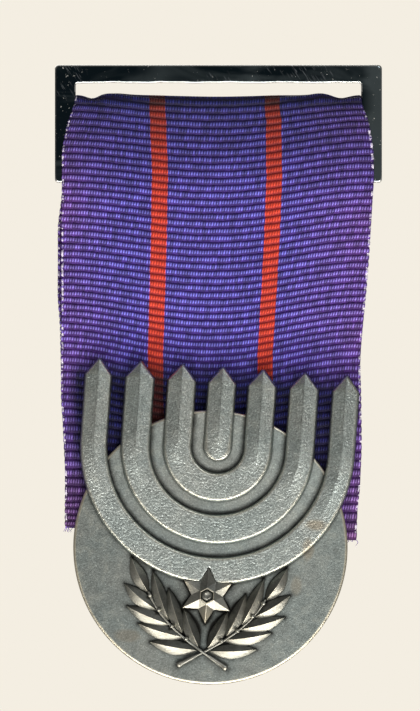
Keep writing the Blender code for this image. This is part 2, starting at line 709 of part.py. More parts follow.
def make_clamp(material, **options):
    """The bar that holds both ribbon ends against the disc, and its two rivets."""
    back = DISC_FRONT_Y - SEAT_FLOOR_Y
    stack = 2 * RIBBON_LAYER_OFFSET + RIBBON_THICKNESS + JOINT_GAP
    inner = back - stack - BAR_BACK_GAP
    outer = inner - BAR_THICKNESS
    middle_w = (BAR_W[0] + BAR_W[1]) / 2
    half_w = (BAR_W[1] - BAR_W[0]) / 2
    sections = []
    for h, inset in ((inner, 0.0), (outer + 0.15, 0.0), (outer, 0.15)):
        ring = rounded_rectangle(BAR_HALF_LENGTH - inset, half_w - inset, 0.5)
        sections.append([(u, w + middle_w, h) for u, w in ring])
    bar = pendant_loft("ribbon_clamp_bar", sections, material=material, **options)
    for side, u in (("left", -BAR_RIVET_U), ("right", BAR_RIVET_U)):
        add_boolean(bar, rivet_cylinder("bar_hole_" + side, u, BAR_RIVET_HOLE, outer - 1, inner + 1), "DIFFERENCE")
        head = outer - JOINT_GAP
        rings = []
        for h, radius in (
            (back + BAR_RIVET_DEPTH - 0.05, BAR_RIVET_RADIUS),
            (head, BAR_RIVET_RADIUS),
            (head, BAR_RIVET_HEAD_RADIUS),
            (head - 0.1, BAR_RIVET_HEAD_RADIUS),
            (head - 0.22, BAR_RIVET_HEAD_RADIUS * 0.8),
            (head - BAR_RIVET_HEAD, BAR_RIVET_HEAD_RADIUS * 0.4),
        ):
            rings.append([(u + a, middle_w + b, h) for a, b in circle(radius, SMALL_STEPS)])
        pendant_loft("clamp_rivet_" + side, rings, material=material, **options)


def main():
    clear_scene()
    bpy.context.scene.unit_settings.system = "METRIC"
    dark_chrome = make_material("dark_chrome", (0.12, 0.13, 0.14), 0.18, 1.0)
    brass = make_material("nickel_fittings", (0.52, 0.5, 0.45), 0.35, 1.0)
    pin_steel = make_material("pin_steel", (0.6, 0.6, 0.6), 0.25, 1.0)
    purple = make_material("purple_ribbon", (0.06, 0.03, 0.2), 0.85, 0.0)
    silver = make_material("oxidised_silver", (0.28, 0.3, 0.29), 0.5, 1.0)
    bright = make_material("worn_silver", (0.55, 0.53, 0.48), 0.4, 1.0)

    make_frame(dark_chrome)
    make_hinge(brass, pin_steel)
    make_catch(brass)

    frame_middle = FRAME_BACK_Y - FRAME_THICKNESS / 2
    swing = make_axis("ribbon_swing_axis", (0.0, frame_middle, RIBBON_HINGE_Z))
    hang = make_axis("pendant_hang_axis", (0.0, ribbon_middle_y(PENDANT_HINGE_Z), PENDANT_HINGE_Z))
    make_ribbon(purple, swing, hang)

    on_pendant = {"parent": hang, "origin": hang["axis_mm"]}
    make_disc(silver, hang)
    outer_arm = make_arm_pair("outer_arm_pair", OUTER_ARM, material=silver, **on_pendant)
    make_arm_pair("middle_arm_pair", MIDDLE_ARM, material=silver, **on_pendant)
    make_arm_pair("inner_arm_pair", INNER_ARM, material=silver, **on_pendant)
    make_stem(material=silver, **on_pendant)
    make_star(outer_arm, material=bright, **on_pendant)
    make_boss(material=bright, **on_pendant)
    make_wreath(material=bright, **on_pendant)
    make_clamp(brass, **on_pendant)


main()
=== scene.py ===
"""Looks of the military service medal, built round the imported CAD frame.

Lengths are millimetres in the CAD's own axes (+Z up, front facing -Y, zero on the brooch pin's axis) until
place_mesh() scales them to metres. Only the lamps and the camera are placed in metres. The pendant's pieces
are drawn in its own axes: u across, w up and h out from the middle of the disc's face.
"""

import math

import bmesh
import bpy
import numpy as np
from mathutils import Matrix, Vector


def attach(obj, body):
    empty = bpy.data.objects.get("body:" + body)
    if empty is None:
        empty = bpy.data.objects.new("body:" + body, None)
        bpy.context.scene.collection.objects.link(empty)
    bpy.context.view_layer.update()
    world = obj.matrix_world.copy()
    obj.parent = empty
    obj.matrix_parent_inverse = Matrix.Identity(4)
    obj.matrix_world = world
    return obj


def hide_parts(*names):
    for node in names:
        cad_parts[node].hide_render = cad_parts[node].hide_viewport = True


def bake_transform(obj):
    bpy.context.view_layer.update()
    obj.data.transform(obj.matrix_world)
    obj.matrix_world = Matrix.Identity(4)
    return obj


MM = 0.001
VIEW_HEIGHT = 86.96952

# Frame, brooch and pendant sizes repeat the CAD's.
FRAME_WIDTH = 40.0
FRAME_HEIGHT = 14.4
FRAME_TOP_Z = 1.1
FRAME_BACK_Y = -1.7
FRAME_THICKNESS = 1.3
FRAME_EDGE = 0.3
SLOT_WIDTH = 34.9
SLOT_HEIGHT = 2.3
SLOT_LIP = 0.26
TOP_BAR_HEIGHT = 2.2
FRAME_MIDDLE_Y = FRAME_BACK_Y - FRAME_THICKNESS / 2

HINGE_X = -14.2
HINGE_BASE = 0.4
HINGE_BORE_RADIUS = 0.32
LUG_RADIUS = 0.85
LUG_IN, LUG_OUT = 0.45, 0.85
PIN_RADIUS = 0.4
PIN_EYE_RADIUS = 0.78
CATCH_X = 13.0
CATCH_WIDTH = 1.6
CATCH_HALF_GAP = 0.46
BARREL_RADII = (0.79, 1.05)
SLEEVE_RADII = (0.47, 0.75)
ROLLER_TAB_TURN = math.radians(-40.0)
FITTING_GAP = 0.02

FOLD_CENTRE_Z = -3.6
FOLD_OFFSET = 0.875
RIB_PITCH = 0.872
RIB_HEIGHT = 0.125
CLOTH_THICKNESS = 0.34
THREADS = 116
LOOSE_THREADS = 150
LOOSE_THREAD_RADIUS = 0.055
STRIPES = ((0.2885, 0.3400), (0.6560, 0.7065))
SPLIT_Z = -30.5
PENDANT_HINGE_Z = -49.65
LOWER_FLAT_WIDTH = 0.0358
# Painted shade on the ribbon's back faces and on its rear layer, which lie behind other parts.
UNDER_SHADE = 0.2

DISC_CENTRE = (-0.98, -57.9)
DISC_TILT = math.radians(4.08)
DISC_RADIUS = 16.78
DISC_EDGE = 0.3
DISC_FRONT_Y = -3.7
DISC_THICKNESS = 2.0
DISC_RINGS = 88
DISC_STEPS = 288
SEAT_FLOOR_Y = -2.6
SEAT_FLOOR_H = DISC_FRONT_Y - SEAT_FLOOR_Y
SEAT_EDGE_W = 0.3

ARM_CENTRE_W = 12.3
ARM_HEIGHT = 9.8
ARM_TIP = 2.0
ARM_RADII = {"middle": (8.39, 11.74), "inner": (3.30, 6.56), "outer": (13.63, 16.68)}
ARM_BEVEL = 0.17
# Columns of points from an arm's edge to its ridge, as shares of its half width.
ARM_COLUMNS = np.array((0.0, 0.018, 0.04, 0.075, 0.12, 0.25, 0.42, 0.6, 0.78, 0.9, 0.965, 0.99))
STEM_HALF_WIDTH = 1.61
WALL_DRAFT = 0.16
FLAT_START = 1.8
TIP_STEEPNESS = 1.9
TIP_TURN = math.atan(STEM_HALF_WIDTH / ARM_TIP)
TIP_NORMAL = (math.cos(TIP_TURN), math.sin(TIP_TURN))
NO_TIP = 99.0

STAR_W = -5.93
STAR_RADIUS = 3.4
STAR_NOTCH_RADIUS = 1.95
STAR_START = math.pi / 2
BOSS_BASE, BOSS_TOP = 1.52, 1.92
STEM_CURVE = ((-3.0, -14.7), (0.3, -12.6), (5.0, -10.5), (7.2, -5.9))
# Each leaf of the right-hand sprig, as (base, tip) across and up from the pendant's middle.
OUTER_LEAVES = (
    ((0.72, -12.67), (6.54, -12.06)),
    ((2.52, -11.21), (8.18, -9.93)),
    ((4.28, -9.78), (9.67, -7.91)),
    ((6.04, -8.11), (10.17, -5.18)),
    ((7.24, -5.97), (9.55, -1.92)),
)
INNER_LEAVES = (
    ((0.56, -12.37), (2.67, -7.72)),
    ((2.72, -10.70), (4.75, -5.44)),
    ((4.50, -9.21), (6.81, -3.45)),
)
BERRIES = ((2.20, -11.36), (4.06, -9.97), (5.76, -8.08), (6.98, -6.38))
BERRY_RADIUS = 0.26
# Half width, bend to the side and lift of each row's leaves.
OUTER_LEAF = (0.92, -0.16, 0.0)
INNER_LEAF = (0.86, -0.12, 0.12)
STEM_CROSSING = 0.16

BAR_W = (2.7, 6.0)
BAR_MIDDLE_W = sum(BAR_W) / 2
BAR_HALF_LENGTH = 12.4
BAR_RIVET_U = 8.2
BAR_HOLE_RADIUS = 0.62
BAR_THICKNESS = 0.5
# The space for both layers of cloth between the disc's seat and the bar.
BAR_SPACE = 0.83

FLOOR_Z = -600.0
FLOOR_REACH = 4000.0
# The lamps face this point, in metres.
STAGE_MIDDLE = (0.0, 0.0, -0.035)

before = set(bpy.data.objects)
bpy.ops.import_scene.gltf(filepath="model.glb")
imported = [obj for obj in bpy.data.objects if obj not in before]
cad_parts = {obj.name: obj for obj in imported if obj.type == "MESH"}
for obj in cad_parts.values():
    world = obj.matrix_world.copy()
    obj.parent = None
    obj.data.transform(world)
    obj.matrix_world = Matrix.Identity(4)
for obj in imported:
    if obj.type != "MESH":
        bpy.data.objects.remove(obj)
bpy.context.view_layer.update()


# ---- mesh helpers


def to_unit(values):
    return np.clip(values, 0.0, 1.0)


def shade_smooth(obj, smooth=True):
    obj.data.polygons.foreach_set("use_smooth", [smooth] * len(obj.data.polygons))


def add_object(name, data):
    obj = bpy.data.objects.new(name, data)
    bpy.context.collection.objects.link(obj)
    return obj


def place_mesh(name, verts, faces, material, smooth=True, uvs=None, tone=None):
    """An object from points in millimetres. uvs and tone are given per point."""
    mesh = bpy.data.meshes.new(name)
    mesh.from_pydata((np.asarray(verts, float) * MM).tolist(), [], faces)
    mesh.materials.append(material)
    if uvs is not None:
        index = np.empty(len(mesh.loops), np.int32)
        mesh.loops.foreach_get("vertex_index", index)
        layer = mesh.uv_layers.new(name="weave")
        layer.data.foreach_set("uv", np.asarray(uvs, np.float32)[index].ravel())
    if tone is not None:
        attribute = mesh.attributes.new("tone", "FLOAT", "POINT")
        attribute.data.foreach_set("value", np.asarray(tone, np.float32).ravel())
    obj = add_object(name, mesh)
    shade_smooth(obj, smooth)
    mesh.update()
    return obj


def grid_faces(rows, columns, wrap_columns=False, wrap_rows=False, first=0):
    """Quads over a grid of points stored row by row."""
    row_count = rows if wrap_rows else rows - 1
    column_count = columns if wrap_columns else columns - 1
    i, j = np.meshgrid(np.arange(row_count), np.arange(column_count), indexing="ij")
    i2, j2 = (i + 1) % rows, (j + 1) % columns
    quads = np.stack([i * columns + j, i * columns + j2, i2 * columns + j2, i2 * columns + j], axis=-1)
    return (quads.reshape(-1, 4) + first).tolist()


def outward(obj):
    """Turns every face of a closed mesh to face out."""
    shape = bmesh.new()
    shape.from_mesh(obj.data)
    bmesh.ops.recalc_face_normals(shape, faces=shape.faces)
    if shape.calc_volume(signed=True) < 0:
        bmesh.ops.reverse_faces(shape, faces=shape.faces)
    shape.to_mesh(obj.data)
    shape.free()
    return obj


def add_loft(verts, faces, sections):
    """Gathers the points and faces through equal closed sections, capped at both ends."""
    stack = np.asarray(sections, float)
    rows, columns = stack.shape[:2]
    first = len(verts)
    verts.extend(stack.reshape(-1, 3).tolist())
    faces.extend(grid_faces(rows, columns, wrap_columns=True, first=first))
    faces.append([first + i for i in range(columns)][::-1])
    faces.append([first + (rows - 1) * columns + i for i in range(columns)])


def solid(name, sections, material, smooth=True, tone=None):
    """A closed solid through sections in the CAD's axes."""
    verts, faces = [], []
    add_loft(verts, faces, sections)
    return outward(place_mesh(name, verts, faces, material, smooth=smooth, tone=tone))


def pendant_points(points):
    """World millimetres of (across, up, out) points in the pendant's own axes."""
    p = np.asarray(points, float)
    c, s = math.cos(DISC_TILT), math.sin(DISC_TILT)
    x = DISC_CENTRE[0] + p[..., 0] * c + p[..., 1] * s
    z = DISC_CENTRE[1] - p[..., 0] * s + p[..., 1] * c
    return np.stack([x, DISC_FRONT_Y - p[..., 2], z], axis=-1)


def pendant_solid(name, sections, material, **options):
    return solid(name, pendant_points(sections), material, **options)


def circle(radius, steps, start=0.0):
    angles = start + 2 * math.pi * np.arange(steps) / steps
    return np.stack([radius * np.cos(angles), radius * np.sin(angles)], axis=1)


def rectangle(x0, y0, x1, y1):
    return np.array([(x0, y0), (x1, y0), (x1, y1), (x0, y1)])


def at_height(outline, height):
    """Points of a flat outline at one height, or at a height each."""
    return np.column_stack([outline, np.broadcast_to(height, len(outline))])


def extruded(outline, low, high):
    return [at_height(outline, low), at_height(outline, high)]


def turned(levels, steps, centre=(0.0, 0.0), start=0.0):
    """Round or many-sided sections about one centre, from (height, radius) pairs."""
    return [at_height(circle(radius, steps, start) + centre, height) for height, radius in levels]


def rounded_rectangle(half_x, half_z, corner, corner_steps=6, side_steps=24):
    """A closed outline with evenly spread points along its sides, so that two of them can be bridged."""
    arcs = []
    for quarter, signs in enumerate(((1, 1), (-1, 1), (-1, -1), (1, -1))):
        angles = math.pi / 2 * (quarter + np.arange(corner_steps + 1) / corner_steps)
        arc = corner * np.stack([np.cos(angles), np.sin(angles)], axis=1)
        arcs.append(arc + np.array(signs) * (half_x - corner, half_z - corner))
    shares = np.arange(1, side_steps)[:, None] / side_steps
    outline = []
    for arc, following in zip(arcs, arcs[1:] + arcs[:1]):
        outline += [arc, arc[-1] + (following[0] - arc[-1]) * shares]
    return np.concatenate(outline)


def add_bevel(obj, width, segments, angle):
    bevel = obj.modifiers.new("edges", "BEVEL")
    bevel.width = width * MM
    bevel.segments = segments
    bevel.limit_method = "ANGLE"
    bevel.angle_limit = math.radians(angle)
    bevel.harden_normals = True


def cut(obj, cutter, operation="DIFFERENCE"):
    """Applies a Boolean and removes the other mesh."""
    modifier = obj.modifiers.new("cut", "BOOLEAN")
    modifier.operation = operation
    modifier.solver = "EXACT"
    modifier.object = cutter
    graph = bpy.context.evaluated_depsgraph_get()
    result = bpy.data.meshes.new_from_object(obj.evaluated_get(graph))
    obj.modifiers.clear()
    obj.data = result
    bpy.data.objects.remove(cutter, do_unlink=True)


def round_edges(obj, width, segments, angle):
    shade_smooth(obj)
    add_bevel(obj, width, segments, angle)


def hand_over(obj, node, body="pendant"):
    """Puts a finished piece on its body in the place of a CAD node."""
    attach(obj, body)
    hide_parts(node)


# ---- materials


class Value:
    """A node's output. Arithmetic on it adds Math nodes to the same material."""

    def __init__(self, shader, socket):
        self.shader = shader
        self.socket = socket

    def __add__(self, other):
        return self.shader.math("ADD", self, other)

    def __sub__(self, other):
        return self.shader.math("SUBTRACT", self, other)

    def __rsub__(self, other):
        return self.shader.math("SUBTRACT", other, self)

    def __mul__(self, other):
        return self.shader.math("MULTIPLY", self, other)

    def __truediv__(self, other):
        return self.shader.math("DIVIDE", self, other)

    __radd__ = __add__
    __rmul__ = __mul__


class Shader:
    """A material under construction: each helper adds one node or a few and returns an output."""

    def __init__(self, name):
        self.material = bpy.data.materials.new(name)
        self.material.use_nodes = True
        self.tree = self.material.node_tree
        self.surface = self.tree.nodes["Principled BSDF"]
        self.place = self.node("TexCoord", "Object", {})

    def feed(self, socket, value):
        if isinstance(value, Value):
            self.tree.links.new(value.socket, socket)
        else:
            socket.default_value = value

    def finish(self, **values):
        """Feeds the surface's sockets and returns the material."""
        for name, value in values.items():
            self.feed(self.surface.inputs[name.replace("_", " ")], value)
        return self.material

    def node(self, kind, output, inputs, **settings):
        """Adds a node, sets it up, feeds its inputs and returns one of its outputs."""
        node = self.tree.nodes.new("ShaderNode" + kind)
        for name, value in settings.items():
            setattr(node, name, value)
        for key, value in inputs.items():
            self.feed(node.inputs[key], value)
        return Value(self, node.outputs[output])

    def tone(self):
        return self.node("Attribute", "Fac", {}, attribute_name="tone")

    def split(self, vector):
        node = self.tree.nodes.new("ShaderNodeSeparateXYZ")
        self.feed(node.inputs[0], vector)
        return [Value(self, output) for output in node.outputs]

    def combine(self, x, y, z):
        return self.node("CombineXYZ", 0, {0: x, 1: y, 2: z})

    def math(self, operation, *values, clamp=False):
        return self.node("Math", 0, dict(enumerate(values)), operation=operation, use_clamp=clamp)

    def length(self, a, b):
        return self.math("SQRT", a * a + b * b)

    def dot(self, vector, axis):
        return self.node("VectorMath", "Value", {0: vector, 1: axis}, operation="DOT_PRODUCT")

    def noise(self, scale, detail, rough=0.5, distortion=0.0, vector=None):
        """Noise over the object's coordinates, or a vector. A tuple for scale squeezes it along each axis."""
        vector = vector or self.place
        if isinstance(scale, tuple):
            vector = self.node("VectorMath", 0, {0: vector, 1: scale}, operation="MULTIPLY")
            scale = 1.0
        inputs = {"Vector": vector, "Scale": scale, "Detail": detail}
        return self.node("TexNoise", "Fac", {**inputs, "Roughness": rough, "Distortion": distortion})

    def ramp(self, value, *stops):
        """stops are (position, value) or (position, colour)."""
        node = self.tree.nodes.new("ShaderNodeValToRGB")
        self.feed(node.inputs[0], value)
        elements = node.color_ramp.elements
        while len(elements) < len(stops):
            elements.new(0.5)
        for element, (position, shade) in zip(elements, stops):
            element.position = position
            element.color = (*shade, 1.0) if isinstance(shade, tuple) else (shade, shade, shade, 1.0)
        return Value(self, node.outputs["Color"])

    def rise(self, value, start, end):
        return self.ramp(value, (start, 0.0), (end, 1.0))

    def mix(self, factor, a, b, blend="MIX"):
        a, b = ((*value, 1.0) if isinstance(value, tuple) else value for value in (a, b))
        return self.node("Mix", 2, {0: factor, 6: a, 7: b}, data_type="RGBA", blend_type=blend)

    def multiplied(self, colour, by, factor=1.0):
        return self.mix(factor, colour, by, "MULTIPLY")

    def bump(self, height, distance, strength):
        inputs = {"Height": height, "Distance": distance, "Strength": strength}
        self.finish(Normal=self.node("Bump", 0, inputs))


# Across, up, half width, half height in the pendant's axes, and how strong.
STAINS = (
    (12.6, 3.6, 1.7, 0.9, 0.7),
    (11.9, 0.75, 0.8, 1.7, 0.55),
    (10.8, -3.9, 0.8, 1.3, 0.4),
    (-9.3, -11.6, 1.9, 0.9, 0.4),
)
STAIN_COLOUR = (0.47, 0.405, 0.30)
# Colour of worn silver, also used for painted highlights.
WORN_AND_HIGHLIGHT_SILVER = (0.84, 0.76, 0.58)
# Radii across the arms are given to ramps as shares of this reach.
REACH = 20.0


def silver_material(name, colours, roughness, grain, low_gain=1.0, grooves=False):
    """Oxidised silver: fine-grained, dark where the tone attribute is negative and bright where positive."""
    base, warm, dark = colours
    s = Shader(name)
    fine = s.noise(5200.0, 3.0, 0.6)
    coarse = s.noise(900.0, 4.0, 0.6)
    cloud = s.noise(170.0, 3.0, 0.55)
    glints = s.noise(7400.0, 1.0, 0.5)
    colour = s.mix(s.rise(cloud, 0.35, 0.65), base, warm)
    showing = min(1.0, 0.25 + grain / 3.0)
    colour = s.multiplied(colour, s.ramp(fine, (0.36, 0.74), (0.5, 1.0), (0.64, 1.28)), showing)
    glints = s.ramp(glints, (0.30, 0.72), (0.42, 1.0), (0.62, 1.0), (0.72, 1.75))
    colour = s.multiplied(colour, glints, showing)
    # The tone attribute brings wear and patina, and painted light and shade on the star and the leaves.
    wear_and_painted_light = s.tone() + (coarse - 0.5) * 0.5
    shade = s.math("MULTIPLY", wear_and_painted_light, -1.0, clamp=True)
    # u runs across the pendant, and w up it from the middle of the arms' bends.
    c, tilt = math.cos(DISC_TILT), math.sin(DISC_TILT)
    u = s.dot(s.place, (c, 0.0, -tilt)) + (DISC_CENTRE[1] * tilt - DISC_CENTRE[0] * c) * MM
    w = s.dot(s.place, (tilt, 0.0, c)) - (DISC_CENTRE[0] * tilt + DISC_CENTRE[1] * c + ARM_CENTRE_W) * MM
    # Tan water marks on the right bend and on the disc.
    for mark_u, mark_w, reach_u, reach_w, strength in STAINS:
        away_u = (u - mark_u * MM) / (reach_u * MM)
        away_w = (w - (mark_w - ARM_CENTRE_W) * MM) / (reach_w * MM)
        away = s.length(away_u, away_w) + (cloud - 0.5) * 1.6
        colour = s.mix(s.ramp(away, (0.55, strength), (1.0, 0.0)), colour, STAIN_COLOUR)
    low_down = s.ramp(w / (REACH * MM) + 0.5, (0.25, low_gain), (0.6, 1.0))
    colour = s.multiplied(colour, low_down)
    if grooves:
        # Darker on the ground along the feet of the arms' walls: patina in the corners with painted shade
        # from the walls over it.
        share = s.length(u, s.math("MINIMUM", w, 0.0)) / (REACH * MM)
        stops = []
        for inner, outer in ((STEM_HALF_WIDTH, 3.30), (6.56, 8.39), (11.74, 13.63)):
            near = [(inner + 0.14, 0.55), (inner + 0.36, 0.0)]
            stops += near + [(outer - 0.8, 0.03), (outer - 0.2, 0.9)]
        stops += [(16.7, 0.9), (17.15, 0.2)]
        groove = s.ramp(share, *((radius / REACH, dirt) for radius, dirt in stops))
        front = s.math("LESS_THAN", s.split(s.place)[1], (DISC_FRONT_Y + 0.4) * MM)
        shade = s.math("ADD", shade, groove * front, clamp=True)
        colour = s.multiplied(colour, s.ramp(share, (13.4 / REACH, 1.13), (13.8 / REACH, 0.98)))
        colour = s.multiplied(colour, s.ramp(u / (34.0 * MM) + 0.5, (0.05, 0.80), (0.8, 1.0)))
        rim = s.length(u, w + ARM_CENTRE_W * MM) / (REACH * MM)
        wear_and_painted_light = wear_and_painted_light + s.rise(rim, 16.42 / REACH, 16.6 / REACH)
    colour = s.mix(shade, colour, dark)
    bright = s.math("MULTIPLY", wear_and_painted_light, 0.8, clamp=True)
    colour = s.mix(bright, colour, WORN_AND_HIGHLIGHT_SILVER)
    rough = coarse * 0.22 + (roughness - 0.11) - bright * 0.12 + shade * 0.15
    lumps = s.rise(s.noise(3300.0, 1.0, 0.5), 0.38, 0.62)
    height = fine * 0.5 + lumps * (0.060 * grain) + coarse * 0.4
    s.bump(height, 0.045 * MM * grain, 0.8)
    return s.finish(Base_Color=colour, Metallic=1.0, Roughness=rough)


def chrome_material():
    """Dark polished chrome: bluish smears, hairlines and chips, and painted highlights on the edges."""
    s = Shader("dark_chrome_worn")
    x, y, z = s.split(s.place)
    smudge = s.noise((70.0, 120.0, 260.0), 3.0, 0.5, 1.2)
    scratch = s.noise((700.0, 700.0, 3600.0), 2.0, 0.7)
    fleck = s.noise(2600.0, 2.0, 0.7)
    right_end = s.rise(x * 50.0, 0.88, 0.96)
    haze = s.math("ADD", s.ramp(smudge, (0.43, 0.0), (0.68, 0.85)), right_end, clamp=True)
    colour = s.mix(haze, (0.018, 0.033, 0.043), (0.18, 0.225, 0.24))
    # Wiping has left bundles of slanting hairlines, and the left end is pecked.
    slant = s.combine(x + z * 0.7, y, z - x * 0.7)
    hair = s.noise((9000.0, 500.0, 500.0), 1.0, vector=slant)
    bundle = s.noise((140.0, 40.0, 200.0), 1.0, 0.5)
    hair = s.rise(hair, 0.64, 0.70) * s.ramp(bundle, (0.52, 0.0), (0.60, 0.8))
    colour = s.mix(hair, colour, (0.42, 0.46, 0.50))
    pecked = s.ramp(x * -50.0, (0.80, 0.0), (0.95, 0.03))
    chips = s.rise(fleck + pecked, 0.69, 0.735)
    colour = s.mix(chips, colour, (0.55, 0.55, 0.52))
    # The tone attribute paints highlights on the edges, broken up by the flecks.
    wear_and_painted_light = s.math("MULTIPLY", s.tone(), s.ramp(fleck, (0.3, 0.75), (0.6, 1.0)), clamp=True)
    colour = s.mix(wear_and_painted_light, colour, (0.85, 0.85, 0.82))
    rough = s.rise(smudge, 0.4, 0.75) * 0.16 + 0.12 + wear_and_painted_light * 0.2 + chips * 0.3
    lines = s.ramp(scratch, (0.64, 1.0), (0.70, 0.0))
    s.bump(lines * 0.4 + smudge * 0.6, 0.012 * MM, 0.6)
    return s.finish(Base_Color=colour, Metallic=1.0, Roughness=rough)


def fitting_material(name, base, roughness):
    """Dull nickel wire and strip with fine drawn lines and darkened pits."""
    s = Shader(name)
    drawn = s.noise((700.0, 6000.0, 6000.0), 3.0, 0.6)
    pits = s.noise(2400.0, 3.0, 0.6)
    cloud = s.noise(420.0, 3.0)
    dull, dark = (tuple(share * c for c in base) for share in (0.45, 0.3))
    colour = s.mix(s.ramp(cloud, (0.3, 0.0), (0.75, 0.6)), base, dull)
    colour = s.mix(s.ramp(pits, (0.3, 0.8), (0.42, 0.0)), colour, dark)
    s.bump(drawn + pits * 0.7, 0.015 * MM, 0.7)
    return s.finish(Base_Color=colour, Metallic=1.0, Roughness=drawn * 0.2 + roughness)


def ribbon_material():
    """Ribbed warp-faced weave from the weave coordinates: u counts warp threads and v counts ribs."""
    s = Shader("ribbon_weave")
    u, v = s.split(s.node("UVMap", 0, {}, uv_map="weave"))[:2]
    rib = s.math("FRACT", v)
    crest = s.math("SINE", rib * math.pi)
    row = s.math("FLOOR", v)
    jitter = s.node("TexWhiteNoise", "Value", {"W": row}, noise_dimensions="1D")
    wobble = (jitter - 0.5) * 0.3
    warp = u + rib * 0.35 + wobble
    thread = s.math("ABSOLUTE", s.math("SINE", warp * math.pi))
    spot = s.combine(s.math("FLOOR", warp), row, 0.0)
    each = s.node("TexWhiteNoise", "Value", {"Vector": spot}, noise_dimensions="2D")
    fibre = s.noise(9000.0, 2.0, 0.6)
    cloud = s.noise(95.0, 2.0, 0.5)

    # The selvedges are more violet than the middle.
    across = ((0.0, 0.9), (0.08, 0.5), (0.22, 0.1), (0.72, 0.12), (0.9, 0.6), (1.0, 1.0))
    violet = s.ramp(u / float(THREADS), *across) * s.ramp(cloud, (0.3, 0.45), (0.7, 1.0))
    purple = s.mix(violet, (0.190, 0.195, 0.80), (0.37, 0.21, 0.67))
    shaded = s.mix(violet, (0.030, 0.0095, 0.150), (0.070, 0.014, 0.135))
    # Light has turned the selvedges' violet redder towards the cut end.
    faded = violet * s.ramp(v / 80.0, (0.62, 0.0), (0.70, 0.8))
    purple = s.mix(faded, purple, (0.46, 0.19, 0.40))
    shaded = s.mix(faded, shaded, (0.062, 0.012, 0.060))
    position = (u + wobble * 0.9) / float(THREADS)
    red = 0.0
    for low, high in STRIPES:
        red = red + s.math("GREATER_THAN", position, low) * s.math("LESS_THAN", position, high)
    lit = s.mix(red, purple, (0.86, 0.075, 0.036))
    low = s.mix(red, shaded, (0.26, 0.010, 0.012))
    height = s.math("POWER", crest, 0.9)
    gap = s.ramp(thread, (0.45, 0.0), (0.75, 0.55), (0.97, 1.0))
    body = s.rise(height, 0.60, 0.96) * (gap * 0.84 + 0.16)
    # The red warp is finer and lies closer, so it shows less of the gaps.
    smooth_body = s.rise(height, 0.42, 0.92) * (gap * 0.55 + 0.45)
    body = body + red * (smooth_body - body)
    colour = s.mix(body, low, lit)
    spread = s.ramp(each, (0.0, 0.62), (0.5, 1.0), (1.0, 1.42))
    colour = s.mix(1.0 - red * 0.7, colour, s.multiplied(colour, spread))
    # The tone attribute is painted shade, which darkens the cloth towards navy.
    painted_shade = s.tone()
    colour = s.mix(painted_shade, colour, s.multiplied(colour, (0.10, 0.13, 0.22)))
    # Loose pale threads stand along both selvedges.
    edge = s.math("MINIMUM", u, float(THREADS) - u)
    loose = s.noise((1500.0, 1500.0, 2600.0), 1.0, 0.5)
    picot = s.math("LESS_THAN", edge, 0.7) * s.ramp(loose, (0.52, 0.0), (0.60, 0.95))
    colour = s.mix(picot, colour, (0.72, 0.66, 0.80))
    s.bump((thread + fibre * 0.35) * crest, 0.09 * MM, 0.9)
    s.finish(Metallic=0.0, Sheen_Weight=0.06, Sheen_Roughness=0.4, Sheen_Tint=(0.8, 0.75, 1.0, 1.0))
    return s.finish(Base_Color=colour, Specular_IOR_Level=0.32, Roughness=0.72 - body * 0.2)


# ---- ribbon


PROFILE_LOW_Z = -62.0
# Of each layer: (height, depth), then (height, x) of the left edge and of the right edge.
PROFILE_KNOTS = {
    "front": (
        ((0.0, -3.2), (-4.0, -3.22), (-13.4, -3.62), (-20.0, -3.35), (-27.0, -2.75), (-33.0, -2.0),
         (-36.5, -1.5), (-39.0, -1.75), (-41.3, -2.4), (-70.0, -2.4)),
        ((0.0, -17.42), (-3.4, -17.42), (-5.5, -18.3), (-9.3, -19.12), (-13.2, -19.15), (-40.0, -19.2),
         (-43.0, -19.0), (-48.0, -18.76), (-60.0, -18.7)),
        ((0.0, 17.44), (-3.6, 17.44), (-5.5, 18.3), (-9.3, 18.9), (-13.2, 19.0), (-19.5, 18.6),
         (-26.5, 18.05), (-31.0, 17.65), (-35.0, 17.32), (-46.0, 17.5), (-51.0, 17.3), (-53.5, 16.95),
         (-60.0, 16.7)),
    ),
    "rear": (
        ((0.0, -1.475), (-13.6, -1.475), (-19.0, -1.6), (-26.0, -1.6), (-33.0, -1.3), (-36.5, -0.95),
         (-39.0, -1.25), (-41.3, -1.98), (-70.0, -1.98)),
        ((0.0, -17.42), (-3.4, -17.42), (-9.3, -19.0), (-15.0, -19.1), (-18.5, -19.62), (-27.0, -19.66),
         (-31.0, -19.3), (-40.0, -19.2), (-48.0, -18.7), (-60.0, -18.7)),
        ((0.0, 17.44), (-3.6, 17.44), (-9.3, 18.6), (-13.2, 18.7), (-26.5, 17.8), (-35.0, 17.1),
         (-46.0, 17.3), (-53.5, 16.75), (-60.0, 16.5)),
    ),
}


def smooth_profile(knots, width, step=0.05):
    """Densely sampled values through (z, value) knots, rounded off over a short length."""
    z = np.arange(PROFILE_LOW_Z, step, step)
    values = np.interp(z, *np.transpose(sorted(knots)))
    reach = int(3 * width / step)
    kernel = np.exp(-0.5 * (np.arange(-reach, reach + 1) * step / width) ** 2)
    padded = np.pad(values, reach, mode="edge")
    return z, np.convolve(padded, kernel / kernel.sum(), mode="valid")


PROFILES = {side: list(map(smooth_profile, knots, (1.6, 0.7, 0.7))) for side, knots in PROFILE_KNOTS.items()}


